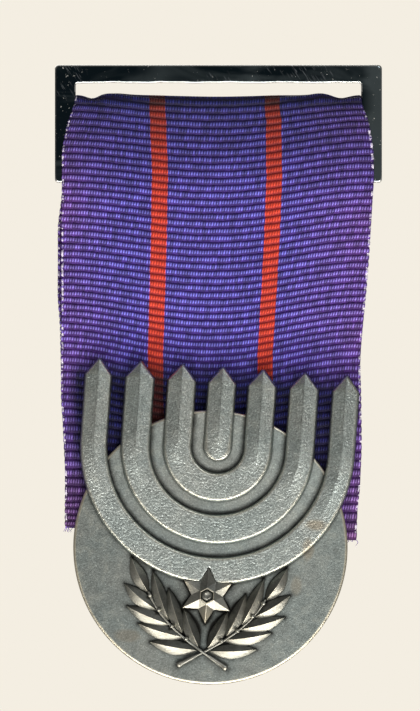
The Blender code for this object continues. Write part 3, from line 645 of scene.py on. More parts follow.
def ribbon_path():
    """Arc length, depth and height along the loop: negative down the back, positive down the front."""
    sides = []
    for side, sign in (("front", -1.0), ("rear", 1.0)):
        turn = np.linspace(0.0, math.pi / 2, 40)
        arc_y = FRAME_MIDDLE_Y + sign * FOLD_OFFSET * np.sin(turn)
        arc_z = FOLD_CENTRE_Z + FOLD_OFFSET * np.cos(turn)
        z = np.arange(FOLD_CENTRE_Z - 0.05, PROFILE_LOW_Z, -0.05)
        y = np.interp(z, *PROFILES[side][0])
        sides.append((np.concatenate([arc_y, y]), np.concatenate([arc_z, z])))
    (front_y, front_z), (rear_y, rear_z) = sides
    y = np.concatenate([rear_y[::-1], front_y[1:]])
    z = np.concatenate([rear_z[::-1], front_z[1:]])
    s = np.concatenate([[0.0], np.cumsum(np.hypot(np.diff(y), np.diff(z)))])
    return s - s[len(rear_y) - 1], y, z


PATH_S, PATH_Y, PATH_Z = ribbon_path()


def path_at(s):
    return np.array([np.interp(s, PATH_S, PATH_Y), np.interp(s, PATH_S, PATH_Z)])


def arc_length_at(z, side):
    """Arc length where that side of the loop reaches a height."""
    chosen = PATH_S > 1.0 if side == "front" else PATH_S < -1.0
    order = np.argsort(PATH_Z[chosen])
    return float(np.interp(z, PATH_Z[chosen][order], PATH_S[chosen][order]))


def between(values, start, end):
    """0 up to start, 1 from end on and straight in between. start may lie past end."""
    return to_unit((values - start) / (end - start))


def hump(values, middle, width):
    return np.exp(-(((values - middle) / width) ** 2))


def rib_bow(share, s):
    """How far a rib is pulled back towards the fold at a share of the width, in millimetres."""
    left = np.interp(s, (-60, -20, 3, 15, 24, 34, 42, 50), (0.0, 0.9, 1.2, 1.45, 1.75, 2.6, 2.2, 0.3))
    right = np.interp(s, (-60, -20, 3, 6, 24, 34, 42, 50), (0.0, 0.9, 1.35, 1.9, 2.0, 2.5, 2.0, 0.3))
    across = share - 0.495
    t = to_unit(np.abs(across) / 0.485)
    return np.where(across < 0, left, right) * t**2.15 * (3 - 2 * t)


def ribbon_surface(q, share):
    """Middle surface of the loop at rib count q and share of the width, with its outward normal."""
    s = q * RIB_PITCH
    wander = 0.020 * np.sin(52 * share + 2.1 * q) + 0.016 * np.sin(121 * share - 1.3 * q)
    s = s - rib_bow(share, s) + wander * to_unit(np.abs(s) / 2.0)
    y, z = path_at(s)
    along_y, along_z = path_at(s + 0.12) - path_at(s - 0.12)
    size = np.hypot(along_y, along_z)
    normal_y, normal_z = along_z / size, -along_y / size
    edges = []
    for edge in (1, 2):
        front, rear = (np.interp(z, *PROFILES[side][edge]) for side in ("front", "rear"))
        edges.append(np.where(s > 0, front, rear))
    left, right = edges
    # Near the fold the cloth is gathered to the slot's width, more on the left than on the right.
    gather = between(z, -11.0, -3.0) ** 1.5 * np.where(share < 0.5, 0.033, 0.008)
    x = left + (right - left) * (share - gather * np.sin(2 * math.pi * share))
    # Two pleats run down from the fold, and the cloth has a slight lie of its own everywhere else.
    rise = 0.28 * hump(x, -12.9, 2.2) + 0.26 * hump(x, 12.5, 1.7)
    dip = 0.5 * hump(x, -15.4, 0.95) + 0.42 * hump(x, 14.9, 1.3)
    lift = np.exp(-np.abs(s) / 3.2) * (rise - dip)
    lift = lift - 0.16 * np.exp(-np.abs(s) / 2.0) * hump(x, 0.0, 6.0)
    free = between(np.abs(s), 8.0, 18.0) * between(z, PENDANT_HINGE_Z + 12, PENDANT_HINGE_Z + 20)
    lie = 0.08 * np.sin(x / 4.3 + z / 7.0) + 0.064 * np.sin(x / 2.6 - z / 5.0 + 1.3)
    offset = lift + free * lie
    return x, y + normal_y * offset, z + normal_z * offset, normal_y, normal_z


def ribbon_painted_shade(ring):
    """Painted shade on the cloth, from 0 to 1: at the fold and in the shadows round the pendant's arms."""
    x, z = ring[..., 0], ring[..., 2]
    # Painted shade at the fold and down the ribbon's upper part.
    top = 0.74 * between(z, -15.0, -4.0) + 0.4 * between(z, -4.4, -3.2)
    # Painted shadow below the arms' tips: full within the pendant's width, and a faint band outside it,
    # stronger on the left.
    below_tips = -35.4 - 0.068 * x - z
    reach = np.interp(z, (-52.0, -45.0), (16.2, 17.7))
    rubbed_and_shaded = between(below_tips, 0.0, 2.6) * between(reach - np.abs(x + 0.8), 0.0, 1.3)
    low = between(below_tips, 0.0, 2.0) * np.where(x < 0, 0.3, 0.08)
    return to_unit(np.maximum(top, np.maximum(rubbed_and_shaded, low)))


def wrapped(front, back):
    """Columns of the front face, then those of the back face in return order."""
    return np.concatenate([front, back[:, ::-1]], axis=1)


def ribbon_piece(name, q0, q1, material, end_cut=None):
    """A closed strip of the ribbon between two rib counts, with ribs standing on both faces."""
    phases = np.array((0.0, 0.1, 0.26, 0.5, 0.74, 0.9))
    whole = np.arange(math.ceil(q0) - 1, math.floor(q1) + 1)
    rows = (whole[:, None] + phases[None, :]).ravel()
    rows = np.concatenate([[q0], rows[(rows > q0 + 0.02) & (rows < q1 - 0.02)], [q1]])
    edge = np.array((0.0, 0.0015, 0.004, 0.0075))
    share = np.concatenate([edge, np.linspace(0.012, 0.988, 70), 1 - edge[::-1]])
    last = -1 if q1 > 0 else 0
    q, across = np.meshgrid(rows, share, indexing="ij")
    x, y, z, normal_y, normal_z = ribbon_surface(q, across)
    if end_cut is not None:
        # The last ribs fan out to the slanting cut.
        left_z, right_z = end_cut
        limit = left_z + (right_z - left_z) * across[:1]
        reach = to_unit((np.abs(q) - abs(q[last, 0]) + 5.0) / 5.0)
        z = z + (limit - z[[last]]) * reach**1.3
    rib = np.abs(np.sin(math.pi * q)) ** 0.85
    near_edge = np.minimum(across, 1 - across)
    # The weft's turns stand out of the selvedges, no two alike.
    loops = 0.10 * rib * (0.55 + 0.45 * np.sin(12.9 * np.floor(q) + 5.0 * (across > 0.5)))
    x = x + np.sign(across - 0.5) * loops * to_unit(1 - near_edge / 0.0125)
    rounded = np.sqrt(np.clip(1 - (1 - to_unit(near_edge / 0.009)) ** 2, 0.03, 1.0))
    half = (CLOTH_THICKNESS / 2 - RIB_HEIGHT * (1 - rib)) * rounded
    front, back = (np.stack([x, y + normal_y * out, z + normal_z * out], axis=-1) for out in (half, -half))
    ring = wrapped(front, back)
    count, around = ring.shape[:2]
    columns = len(share)
    faces = grid_faces(count, around, wrap_columns=True)
    for base in (0, (count - 1) * around):
        for i in range(columns - 1):
            quad = [base + i, base + i + 1, base + around - 2 - i, base + around - 1 - i]
            faces.append(quad if base else quad[::-1])
    uv = np.stack([wrapped(across, across) * THREADS, wrapped(q, q)], axis=-1)
    # Painted shade: shadows on the front layer's face, and an even shade on the back faces and the rear
    # layer.
    painted_shade = np.where(wrapped(q, q) > 0, ribbon_painted_shade(ring), UNDER_SHADE)
    painted_shade[:, columns:] = UNDER_SHADE
    obj = place_mesh(name, ring.reshape(-1, 3), faces, material, uvs=uv.reshape(-1, 2), tone=painted_shade)
    return outward(obj), (across[last], x[last], y[last], z[last])


def frayed_ends(name, end, material, seed):
    """Warp threads hanging loose below a cut end, as one mesh of thin tapered tubes."""
    share, x, y, z = end
    random = np.random.default_rng(seed)
    verts, faces, uvs = [], [], []
    t = np.linspace(0.0, 1.0, 7)
    tube = circle(1.0, 5)
    radius = LOOSE_THREAD_RADIUS * (1.0 - 0.55 * t)[:, None]
    for place in np.sort(random.uniform(0.003, 0.997, LOOSE_THREADS)):
        px, py, pz = (np.interp(place, share, values) for values in (x, y, z))
        outside = abs(px) > 16.4
        length = random.uniform(0.25, 1.25) if outside else random.uniform(0.15, 0.6)
        lean, curl = random.normal(0.0, 0.35), random.normal(0.0, 0.14)
        depth = random.uniform(-0.04, 0.04)
        ring_x = px + (lean * length * t * t + curl * np.sin(5 * t))[:, None] + radius * tube[:, 0]
        ring_y = py + depth + radius * tube[:, 1]
        ring_z = np.broadcast_to((pz + 0.12 - length * t)[:, None], ring_y.shape)
        add_loft(verts, faces, np.stack([ring_x, ring_y, ring_z], axis=-1))
        uvs += [(place * THREADS, 0.5 + 0.3 * step) for step in t for _ in tube]
    return place_mesh(name, verts, faces, material, uvs=uvs, tone=np.full(len(verts), 0.05))


def build_ribbon():
    material = ribbon_material()
    q_front = round(arc_length_at(SPLIT_Z, "front") / RIB_PITCH)
    q_rear = round(arc_length_at(SPLIT_Z, "rear") / RIB_PITCH)
    loop, _ = ribbon_piece("ribbon_loop", q_rear, q_front, material)
    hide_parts("ribbon_top_fold", "ribbon_front_panel", "ribbon_rear_panel")
    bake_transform(loop)
    layers = (("front", q_front, (-55.35, -57.05), 5), ("rear", q_rear, (-55.5, -56.8), 4))
    for side, q_split, ends, seed in layers:
        q_end = arc_length_at(sum(ends) / 2, side) / RIB_PITCH
        low, high = sorted((q_split, q_end))
        piece, end = ribbon_piece("ribbon_lower_" + side, low, high, material, end_cut=ends)
        fray = frayed_ends("ribbon_fray_" + side, end, material, seed)
        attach(fray, "pendant")
        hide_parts("ribbon_" + side + "_tail")
        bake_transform(piece)
        flat = (LOWER_FLAT_WIDTH, (high - low) * RIB_PITCH * MM)


# ---- frame and brooch


def build_frame(chrome):
    """The slotted plate as one closed ring, rounded at every edge."""
    front, back = FRAME_BACK_Y - FRAME_THICKNESS, FRAME_BACK_Y
    bottom_z = FRAME_TOP_Z - FRAME_HEIGHT
    slot_z = FRAME_TOP_Z - TOP_BAR_HEIGHT - SLOT_HEIGHT / 2

    def outer(inset):
        corner = max(0.45 - 0.5 * inset, 0.05)
        ring = rounded_rectangle(FRAME_WIDTH / 2 - inset, FRAME_HEIGHT / 2 - inset, corner)
        return ring + (0.0, FRAME_TOP_Z - FRAME_HEIGHT / 2)

    def slot(inset):
        ring = rounded_rectangle(SLOT_WIDTH / 2 + inset, SLOT_HEIGHT / 2 + inset, 0.3 + inset)
        return ring + (0.0, slot_z)

    turn = math.pi / 2 * np.arange(6) / 5
    falling, rising = 1 - np.sin(turn), 1 - np.cos(turn)
    wide, narrow = outer(FRAME_EDGE), slot(SLOT_LIP)
    shares = (0.04, 0.5, 0.96)
    sections = [(outer(FRAME_EDGE * a), front + FRAME_EDGE * b) for a, b in zip(rising, falling)]
    sections += [(wide + (narrow - wide) * share, front) for share in shares]
    sections += [(slot(SLOT_LIP * a), front + SLOT_LIP * b) for a, b in zip(falling, rising)]
    sections += [(slot(SLOT_LIP * a), back - SLOT_LIP * b) for a, b in zip(rising, falling)]
    sections += [(wide + (narrow - wide) * share, back) for share in shares[::-1]]
    sections += [(outer(FRAME_EDGE * a), back - FRAME_EDGE * b) for a, b in zip(falling, rising)]
    rings = np.array([[(x, y, z) for x, z in ring] for ring, y in sections])
    x, z = rings[..., 0], rings[..., 2]
    # Hand finishing leaves the slot's upper edge a little uneven.
    uneven = 0.035 * np.sin(x * 0.9 + 0.7) + 0.025 * np.sin(x * 2.3 + z)
    inside = (np.abs(x) < SLOT_WIDTH / 2 + 0.2) & (z > slot_z) & (z < slot_z + 1.4)
    rings[..., 2] += np.where(inside, uneven, 0.0)
    # Painted highlights on the bevels: brightest on the lowest edges and the slot's upper edge, which face
    # the light from below, less on the top edges and least on the others.
    bevelled = np.abs(rings[..., 1] - FRAME_MIDDLE_Y) < FRAME_THICKNESS / 2 - 0.03
    brightest = inside | (z < bottom_z + 0.5)
    tone = bevelled * np.where(brightest, 1.0, np.where(z > FRAME_TOP_Z - 0.5, 0.4, 0.12))
    faces = grid_faces(*rings.shape[:2], wrap_columns=True, wrap_rows=True)
    plate = outward(place_mesh("ribbon_frame_plate", rings.reshape(-1, 3), faces, chrome, tone=tone))
    hand_over(plate, "ribbon_frame", "frame")


def prism(name, profile, low, high, axis, material=None):
    """A closed profile carried along X or Z between two values."""
    rings = extruded(profile, low, high)
    if axis == "x":
        rings = np.roll(rings, 1, axis=-1)
    return solid(name, rings, material or bpy.data.materials[0], smooth=False)


def split_tube_profile(inner, outer, steps=36):
    """A ring about the pin's axis with a straight-sided slot open to the back."""
    profile = []
    for radius, order in ((outer, 1), (inner, -1)):
        start = math.asin(CATCH_HALF_GAP / radius)
        angles = np.linspace(start, 2 * math.pi - start, steps + 1)[::order]
        profile.append(radius * np.stack([np.cos(angles), np.sin(angles)], axis=1))
    return np.concatenate(profile)


def finish_fitting(obj, node, width, body="frame"):
    round_edges(obj, width, 3, 35.0)
    hand_over(obj, node, body)


def build_brooch(nickel, steel):
    hinge = (HINGE_X, 0.0)
    foot_y = FRAME_BACK_Y + FITTING_GAP
    base_y = foot_y + HINGE_BASE
    left, right = HINGE_X - 1.2, HINGE_X + 1.2
    base = rectangle(left, foot_y, right, base_y)
    block = prism("pin_hinge_fork", base, -LUG_OUT, LUG_OUT, "z", nickel)
    arc = np.linspace(0.0, math.pi, 25)
    lug = [(HINGE_X + LUG_RADIUS * math.cos(a), LUG_RADIUS * math.sin(a)) for a in arc]
    lug += [(HINGE_X - LUG_RADIUS, base_y - 0.1), (HINGE_X + LUG_RADIUS, base_y - 0.1)]
    for low, high in ((LUG_IN, LUG_OUT - 0.01), (0.01 - LUG_OUT, -LUG_IN)):
        cut(block, prism("lug", lug, low, high, "z"), "UNION")
    cut(block, prism("bore", circle(HINGE_BORE_RADIUS, 40) + hinge, -2.0, 2.0, "z"))
    finish_fitting(block, "pin_hinge_block", 0.06)

    head = LUG_OUT + FITTING_GAP
    levels = [(-head - 0.14, 0.3), (-head - 0.13, 0.42), (-head - 0.08, 0.5), (-head, 0.52), (-head, 0.3)]
    levels += [(-height, radius) for height, radius in levels[::-1]]
    rivet = solid("pin_hinge_rivet_turned", turned(levels, 40, hinge), nickel)
    finish_fitting(rivet, "pin_hinge_rivet", 0.03)

    pin = prism("brooch_pin_wire", circle(PIN_EYE_RADIUS, 48) + hinge, -PIN_RADIUS, PIN_RADIUS, "z", steel)
    profile = [(HINGE_X + 0.45, 0.36), (HINGE_X + 0.9, 0.39), (-6.0, PIN_RADIUS), (4.0, PIN_RADIUS)]
    # The point tapers in a curve.
    profile += [(14.4, PIN_RADIUS), (15.0, 0.36), (15.5, 0.28), (16.0, 0.16), (16.3, 0.07), (16.4, 0.02)]
    cut(pin, solid("shaft", np.roll(turned(profile, 32), 1, axis=-1), steel), "UNION")
    cut(pin, prism("bore", circle(HINGE_BORE_RADIUS + 0.02, 40) + hinge, -2.0, 2.0, "z"))
    finish_fitting(pin, "brooch_pin", 0.05, "pin")

    x0, x1 = CATCH_X - CATCH_WIDTH / 2, CATCH_X + CATCH_WIDTH / 2
    barrel = prism("pin_catch_barrel", split_tube_profile(*BARREL_RADII), x0, x1, "x", nickel)
    foot = rectangle(foot_y, -0.7, -0.89, 0.7)
    cut(barrel, prism("foot", foot, x0 + 0.02, x1 - 0.02, "x"), "UNION")
    finish_fitting(barrel, "pin_catch", 0.05)

    sleeve = prism("catch_sleeve", split_tube_profile(*SLEEVE_RADII), x0 - 0.05, x1 + 0.5, "x", nickel)
    along = np.array((math.cos(ROLLER_TAB_TURN), math.sin(ROLLER_TAB_TURN)))
    across = np.array((-along[1], along[0]))
    corners = [(0.6, -0.28), (1.25, -0.28), (1.32, -0.22), (1.35, -0.14)]
    corners += [(reach, -side) for reach, side in corners[::-1]]
    tab = [along * reach + across * side for reach, side in corners]
    cut(sleeve, prism("tab", tab, x1 + 0.04, x1 + 0.45, "x"), "UNION")
    finish_fitting(sleeve, "catch_roller", 0.04, body="roller")


# ---- pendant


def distance_to_segment(points, a, b):
    a, b = np.asarray(a, float), np.asarray(b, float)
    share = to_unit(((points - a) @ (b - a)) / ((b - a) @ (b - a)))
    return np.linalg.norm(points - a - share[:, None] * (b - a), axis=1), share


def stem_point(share):
    a, b, c, d = (np.array(p) for p in STEM_CURVE)
    share = np.asarray(share, float)[..., None]
    back = 1 - share
    return a * back**3 + b * 3 * back**2 * share + c * 3 * back * share**2 + d * share**3


def emblem_patina(points):
    """Tone of the disc's face: dark in the recesses round the star, the stems and the leaves."""
    clear = np.full(len(points), 9.0)
    path = stem_point(np.linspace(0.0, 1.0, 12))
    for mirror in (1.0, -1.0):
        flipped = points * (mirror, 1.0)
        for base, tip in OUTER_LEAVES + INNER_LEAVES:
            reach, share = distance_to_segment(flipped, base, tip)
            clear = np.minimum(clear, reach - 0.8 * np.sin(math.pi * np.clip(share, 0.05, 0.95)))
        for start, end in zip(path[:-1], path[1:]):
            clear = np.minimum(clear, distance_to_segment(flipped, start, end)[0] - 0.2)
    centre = np.array((0.0, STAR_W))
    for tip in circle(STAR_RADIUS, 6, STAR_START) + centre:
        reach, share = distance_to_segment(points, centre, tip)
        clear = np.minimum(clear, reach - 1.3 * (1 - share) ** 0.7)
    clear = np.maximum(clear, 0.0)
    inside = np.exp(-((points[:, 0] / 4.6) ** 4) - (((points[:, 1] + 7.6) / 4.4) ** 4))
    return -0.72 * np.exp(-clear / 0.30) - 0.42 * inside * np.exp(-clear / 2.5)


def cut_bar_holes(obj, low, high, material):
    """The two holes for the clamp bar's rivets."""
    for u in (-BAR_RIVET_U, BAR_RIVET_U):
        rings = turned(((low, BAR_HOLE_RADIUS), (high, BAR_HOLE_RADIUS)), 40, (u, BAR_MIDDLE_W))
        cut(obj, pendant_solid("hole", rings, material))


def build_disc(silver):
    """The round body: a turned blank with eased edges, a step cut across the back and two rivet holes."""
    turn = math.pi / 2 * np.arange(1, 7) / 6
    rounding = list(zip(DISC_EDGE * (np.cos(turn) - 1), DISC_RADIUS - DISC_EDGE * (1 - np.sin(turn))))
    # The face has many rings because it carries the patina, and the back has one.
    face = [(0.0, radius) for radius in np.linspace(0.15, DISC_RADIUS - DISC_EDGE, DISC_RINGS)]
    rear = [(-DISC_THICKNESS - height, radius) for height, radius in (face[-1:] + rounding)[::-1]]
    sections = turned(face + rounding + rear, DISC_STEPS)
    points = np.concatenate(sections)
    tone = np.where(points[:, 2] > -0.01, emblem_patina(points[:, :2]), 0.0)
    disc = pendant_solid("pendant_body", sections, silver, tone=tone)
    seat = rectangle(-20, SEAT_EDGE_W, 20, 20)
    cut(disc, pendant_solid("seat", extruded(seat, SEAT_FLOOR_H, SEAT_FLOOR_H - 3), silver))
    cut_bar_holes(disc, SEAT_FLOOR_H - 1, SEAT_FLOOR_H + 0.6, silver)
    round_edges(disc, 0.03, 2, 40.0)
    hand_over(disc, "pendant_disc")


def arm_heights(distance, flat, bevel):
    """Height over the ground at a distance from the arm's outline: a bevel, then a roof that flattens."""
    eaves = 0.62 + 0.24 * flat
    slope = 0.37 * (1 - flat)
    rise = to_unit(distance / bevel)
    return eaves - 0.13 + 0.13 * np.sin(rise * math.pi / 2) + slope * np.maximum(distance - bevel, 0.0)


def standing(points, height, foot):
    """Rows of raised points between the two feet that each row stands on."""
    top = np.concatenate([points, height[..., None]], axis=-1)
    foot = np.concatenate([foot, np.full(foot.shape[:2] + (1,), FITTING_GAP)], axis=-1)
    return np.concatenate([foot[:, :1], top, foot[:, 1:]], axis=1)


def build_arm(name, rows, silver, node):
    """A ridged arm along its centre line. from_apex is how far each row is from the arm's apex."""
    centre, across, half, flat, from_apex, bevel = rows
    share = np.concatenate([ARM_COLUMNS, [1.0], ARM_COLUMNS[::-1]])
    side = np.concatenate([ARM_COLUMNS - 1, [0.0], (1 - ARM_COLUMNS)[::-1]])
    full = half.max()
    half, flat, from_apex = half[:, None], flat[:, None], from_apex[:, None]
    bevel = np.broadcast_to(np.reshape(bevel, (-1, 1)), half.shape)
    offset = side * half
    points = centre[:, None, :] + across[:, None, :] * offset[..., None]
    distance = share * half
    in_tip = from_apex < ARM_TIP
    below = np.maximum((from_apex - np.abs(offset) * ARM_TIP / full) * TIP_NORMAL[1], 0.0)
    in_chevron = np.minimum(distance * TIP_NORMAL[0] * TIP_STEEPNESS, np.maximum(full - np.abs(offset), 0.0))
    distance = np.where(in_tip, in_chevron, np.minimum(distance, below * TIP_STEEPNESS))
    height = arm_heights(distance, flat, bevel)
    height = height * (0.90 + 0.10 * to_unit(from_apex / ARM_TIP))
    # The cast walls lean out towards the ground, and round the chevron they follow its slope.
    sideways = across * np.where(in_tip, TIP_NORMAL[0], 1.0) * WALL_DRAFT
    upwards = np.where(in_tip, TIP_NORMAL[1], 0.0) * WALL_DRAFT * np.array((0.0, 1.0))
    foot = np.stack([points[:, 0] - sideways + upwards, points[:, -1] + sideways + upwards], axis=1)
    crease = hump(share, 1.0, 0.045) * (1 - flat) * (1.0 - 0.6 * in_tip)
    wear_and_painted_light = hump(distance, 0.7 * bevel, 0.65 * bevel)
    rubbed_and_shaded = 0.35 + 0.65 * flat + 0.9 * in_tip * (from_apex > 0.3)
    # Darker at the very apex of each tip.
    apex_dark = 0.22 * to_unit((0.5 - from_apex) / 0.5)
    tone = -0.5 * crease + 0.55 * wear_and_painted_light * rubbed_and_shaded + 0.10 * in_tip - apex_dark
    # The feet of the walls are dark: patina in the corners with painted shade over it.
    foot_tone = np.full((len(centre), 1), -0.9)
    tone = np.concatenate([foot_tone, tone, foot_tone], axis=1)
    arm = pendant_solid(name, standing(points, height, foot), silver, tone=tone)
    hand_over(arm, node)
    return arm


def upright_rows(width):
    """Distances from the apex for the rows of an upright, with the outline's half width at each."""
    tip = (0.03, 0.12, 0.25, 0.4, 0.6, 0.85, 1.1, 1.35, 1.6, 1.8, 1.93, 2.0, 2.07, 2.2, 2.45, 2.8, 3.3)
    from_apex = np.concatenate([tip, np.linspace(4.0, ARM_HEIGHT, 14)])
    return from_apex, np.minimum(from_apex / ARM_TIP, 1.0) * width / 2


def there_and_back(up, bend):
    """Values for one upright, the bend below it and the other upright."""
    return np.concatenate([up, bend, up[::-1]])


def build_arm_pair(size, silver):
    inner, outer = ARM_RADII[size]
    middle, width = (inner + outer) / 2, outer - inner
    from_apex, half = upright_rows(width)
    steps = 120
    turn = math.pi + math.pi * np.arange(1, steps) / steps
    outwards = np.stack([np.cos(turn), np.sin(turn)], axis=1)
    w = there_and_back(ARM_CENTRE_W + ARM_HEIGHT - from_apex, ARM_CENTRE_W + middle * np.sin(turn))
    left = np.tile((-1.0, 0.0), (len(half), 1))
    across = np.concatenate([left, outwards, -left])
    centre = np.stack([middle * across[:, 0], w], axis=1)
    halves = there_and_back(half, np.full(steps - 1, width / 2))
    tips = there_and_back(from_apex, np.full(steps - 1, NO_TIP))
    # The roof flattens from a little above the bend to some way round it.
    bent = middle * np.minimum(turn - math.pi, 2 * math.pi - turn)
    flats = there_and_back(from_apex - ARM_HEIGHT, bent) + FLAT_START
    flats = to_unit(flats / (0.67 * middle + FLAT_START))
    flats = flats * flats * (3 - 2 * flats)
    rows = (centre, across, halves, flats, tips, ARM_BEVEL)
    return build_arm(size + "_arms_cast", rows, silver, size + "_arm_pair")


def build_stem(silver):
    from_apex, half = upright_rows(2 * STEM_HALF_WIDTH)
    turn = np.append(np.linspace(0.0, math.pi / 2, 15)[1:-1], math.pi / 2 - 0.02)
    w = np.append(ARM_CENTRE_W + ARM_HEIGHT - from_apex, ARM_CENTRE_W - STEM_HALF_WIDTH * np.sin(turn))
    half = np.append(half, STEM_HALF_WIDTH * np.cos(turn))
    tips = np.append(from_apex, np.full(len(turn), NO_TIP))
    flat = np.append(to_unit((from_apex - 6.5) / 3.3) * 0.55, 0.55 + 0.4 * np.sin(turn))
    centre = np.stack([np.zeros_like(w), w], axis=1)
    across = np.tile((-1.0, 0.0), (len(w), 1))
    bevel = ARM_BEVEL + 0.16 * to_unit((ARM_CENTRE_W + 1.5 - w) / 1.5)
    build_arm("centre_stem_cast", (centre, across, half, flat, tips, bevel), silver, "centre_stem")


def star_points(radius, notch):
    """The star's outline: six tips, each followed by a notch."""
    reach = np.tile((radius, notch), 6)
    return circle(1.0, 12, STAR_START) * reach[:, None] + (0.0, STAR_W)


def build_star(bright, outer_arm):
    """A six-pointed star whose arms are ridged roofs, with a flat hexagon for the boss."""
    outline = star_points(STAR_RADIUS, STAR_NOTCH_RADIUS)
    crests = star_points(0.985 * STAR_RADIUS, 0.985 * STAR_NOTCH_RADIUS)
    pad = circle(1.05, 6, STAR_START) + (0.0, STAR_W)
    levels = extruded(outline, FITTING_GAP, 0.62)
    levels += [at_height(crests, np.tile((0.98, 0.72), 6)), at_height(pad, 1.5)]
    faces = [list(range(12))] + grid_faces(3, 12, wrap_columns=True)
    for i in range(6):
        tip, corner, following = 24 + 2 * i, 36 + i, 36 + (i + 1) % 6
        before, after = 24 + (2 * i - 1) % 12, 24 + 2 * i + 1
        faces += [[corner, before, tip], [corner, tip, after], [corner, after, following]]
    faces.append(list(range(36, 42)))
    # Painted light on the star: each crest point and hexagon corner is lightened or darkened for the light
    # from below, brightest on the bottom arm and darkest on the top arm.
    tops = [-0.3, -0.3, 0.6, 0.0, 0.2, 0.2, 1.3, 0.2, 0.2, 0.0, 0.6, -0.3]
    tone = [-1.0] * 12 + [-0.6] * 12 + tops + [-0.35, -0.35, 0.1, 0.4, 0.1, -0.35]
    points = pendant_points(np.concatenate(levels))
    star = outward(place_mesh("star_cast", points, faces, bright, smooth=False, tone=tone))
    notch = star_points(STAR_RADIUS + 0.16, STAR_NOTCH_RADIUS + 0.04)
    cut(outer_arm, pendant_solid("notch", extruded(notch, -0.5, 3.0), bright))
    add_bevel(star, 0.035, 2, 12.0)
    hand_over(star, "star")

    top = BOSS_TOP
    levels = ((BOSS_BASE, 1.04), (top - 0.08, 1.04), (top, 0.98), (top, 0.86), (top - 0.3, 0.80))
    tone = np.repeat((-0.8, 0.0, 0.6, 0.5, -1.6), 6)
    rings = turned(levels, 6, (0.0, STAR_W), STAR_START)
    boss = pendant_solid("star_boss_plain", rings, bright, smooth=False, tone=tone)
    levels = [(top - 0.32, 0.52), (top - 0.1, 0.48), (top - 0.06, 0.42), (top - 0.06, 0.32)]
    levels += [(top - 0.16, 0.27), (top - 0.2, 0.05)]
    cut(boss, pendant_solid("pip", turned(levels, 32, (0.0, STAR_W)), bright), "UNION")
    add_bevel(boss, 0.03, 2, 30.0)
    hand_over(boss, "star_boss")


def sprig_stem(crossing):
    """Sections and tones of the right-hand stem. crossing lifts it over the other one."""
    share = np.linspace(0.0, 1.0, 44)
    centre = stem_point(share)
    ahead = np.gradient(centre, axis=0)
    ahead /= np.linalg.norm(ahead, axis=1)[:, None]
    across = np.stack([-ahead[:, 1], ahead[:, 0]], axis=1)
    tube = circle(1.0, 14)
    thick = (0.40 - 0.24 * to_unit(share / 0.25) + 0.02 * np.cos(40 * share))[:, None]
    place = centre[:, None, :] + across[:, None, :] * (tube[:, 0] * thick)[..., None]
    low = 0.44 - 0.16 * to_unit(share / 0.4) + crossing * hump(centre[:, 0], 0.0, 0.8)
    ring = np.concatenate([place, (low[:, None] + tube[:, 1] * thick)[..., None]], axis=-1)
    return ring, np.tile(0.55 - 1.3 * np.abs(tube[:, 0]), (len(share), 1))


def leaf_rows(base, tip, half_width, bend, lift):
    """A pointed leaf with a sharp midrib. Its inner flank is painted in shade as if lit from below, and its
    outer flank a little lighter.
    """
    base, tip = np.array(base), np.array(tip)
    length = np.linalg.norm(tip - base)
    along = (tip - base) / length
    side = np.array((-along[1], along[0]))
    share = np.concatenate([[0.0, 0.02], np.linspace(0.06, 0.94, 24), [0.98, 1.0]])[:, None]
    swell = np.sin(math.pi * np.clip(share, 0.001, 0.999) ** 0.88) ** 0.82
    half = 0.03 + half_width * swell
    centre = base + along * (length * share) + side * (bend * np.sin(math.pi * share))
    t = np.array((0.0, 0.03, 0.1, 0.3, 0.6, 0.86, 0.95, 1.0))
    t = np.concatenate([-t[:0:-1], t])
    points = centre[:, None, :] + side * (half * t)[..., None]
    ridge = 0.02 + 0.66 * (0.2 + 0.8 * swell)
    height = 0.14 + lift + ridge * (1 - np.abs(t)) ** 0.9
    # The midrib is nicked and the flanks are not quite flat.
    height = height + 0.03 * np.sin(9 * share + 3 * base[0]) * np.sin(math.pi * np.abs(t)) * swell
    ring = standing(points, height, points[:, [0, -1]])
    # Painted shade on the inner flank and a faint painted light on the outer one, with a bright midrib and
    # dark edges.
    wear_and_painted_light = np.where(t < 0.01, 0.08, -0.60) + 0.45 * hump(t, 0.0, 0.06) - 5.0 * np.maximum(np.abs(t) - 0.9, 0)
    return ring, np.tile(np.concatenate([[-1.2], wear_and_painted_light, [-1.2]]), (len(share), 1))


def build_wreath(bright):
    verts, faces, tones = [], [], []
    for mirror in (1.0, -1.0):
        parts = [sprig_stem(STEM_CROSSING if mirror < 0 else 0.0)]
        for row, shape in ((OUTER_LEAVES, OUTER_LEAF), (INNER_LEAVES, INNER_LEAF)):
            parts += [leaf_rows(base, tip, *shape) for base, tip in row]
        levels = []
        for turn in np.linspace(0.08, math.pi - 0.08, 11):
            levels.append((0.62 - BERRY_RADIUS * math.cos(turn), BERRY_RADIUS * math.sin(turn)))
        for spot in BERRIES:
            parts.append((np.array(turned(levels, 16, spot)), np.full((len(levels), 16), 0.1)))
        for ring, tone in parts:
            add_loft(verts, faces, ring * (mirror, 1.0, 1.0))
            tones.append(tone.ravel())
    points = pendant_points(verts)
    obj = outward(place_mesh("laurel_sprigs", points, faces, bright, tone=np.concatenate(tones)))
    hand_over(obj, "laurel_wreath")


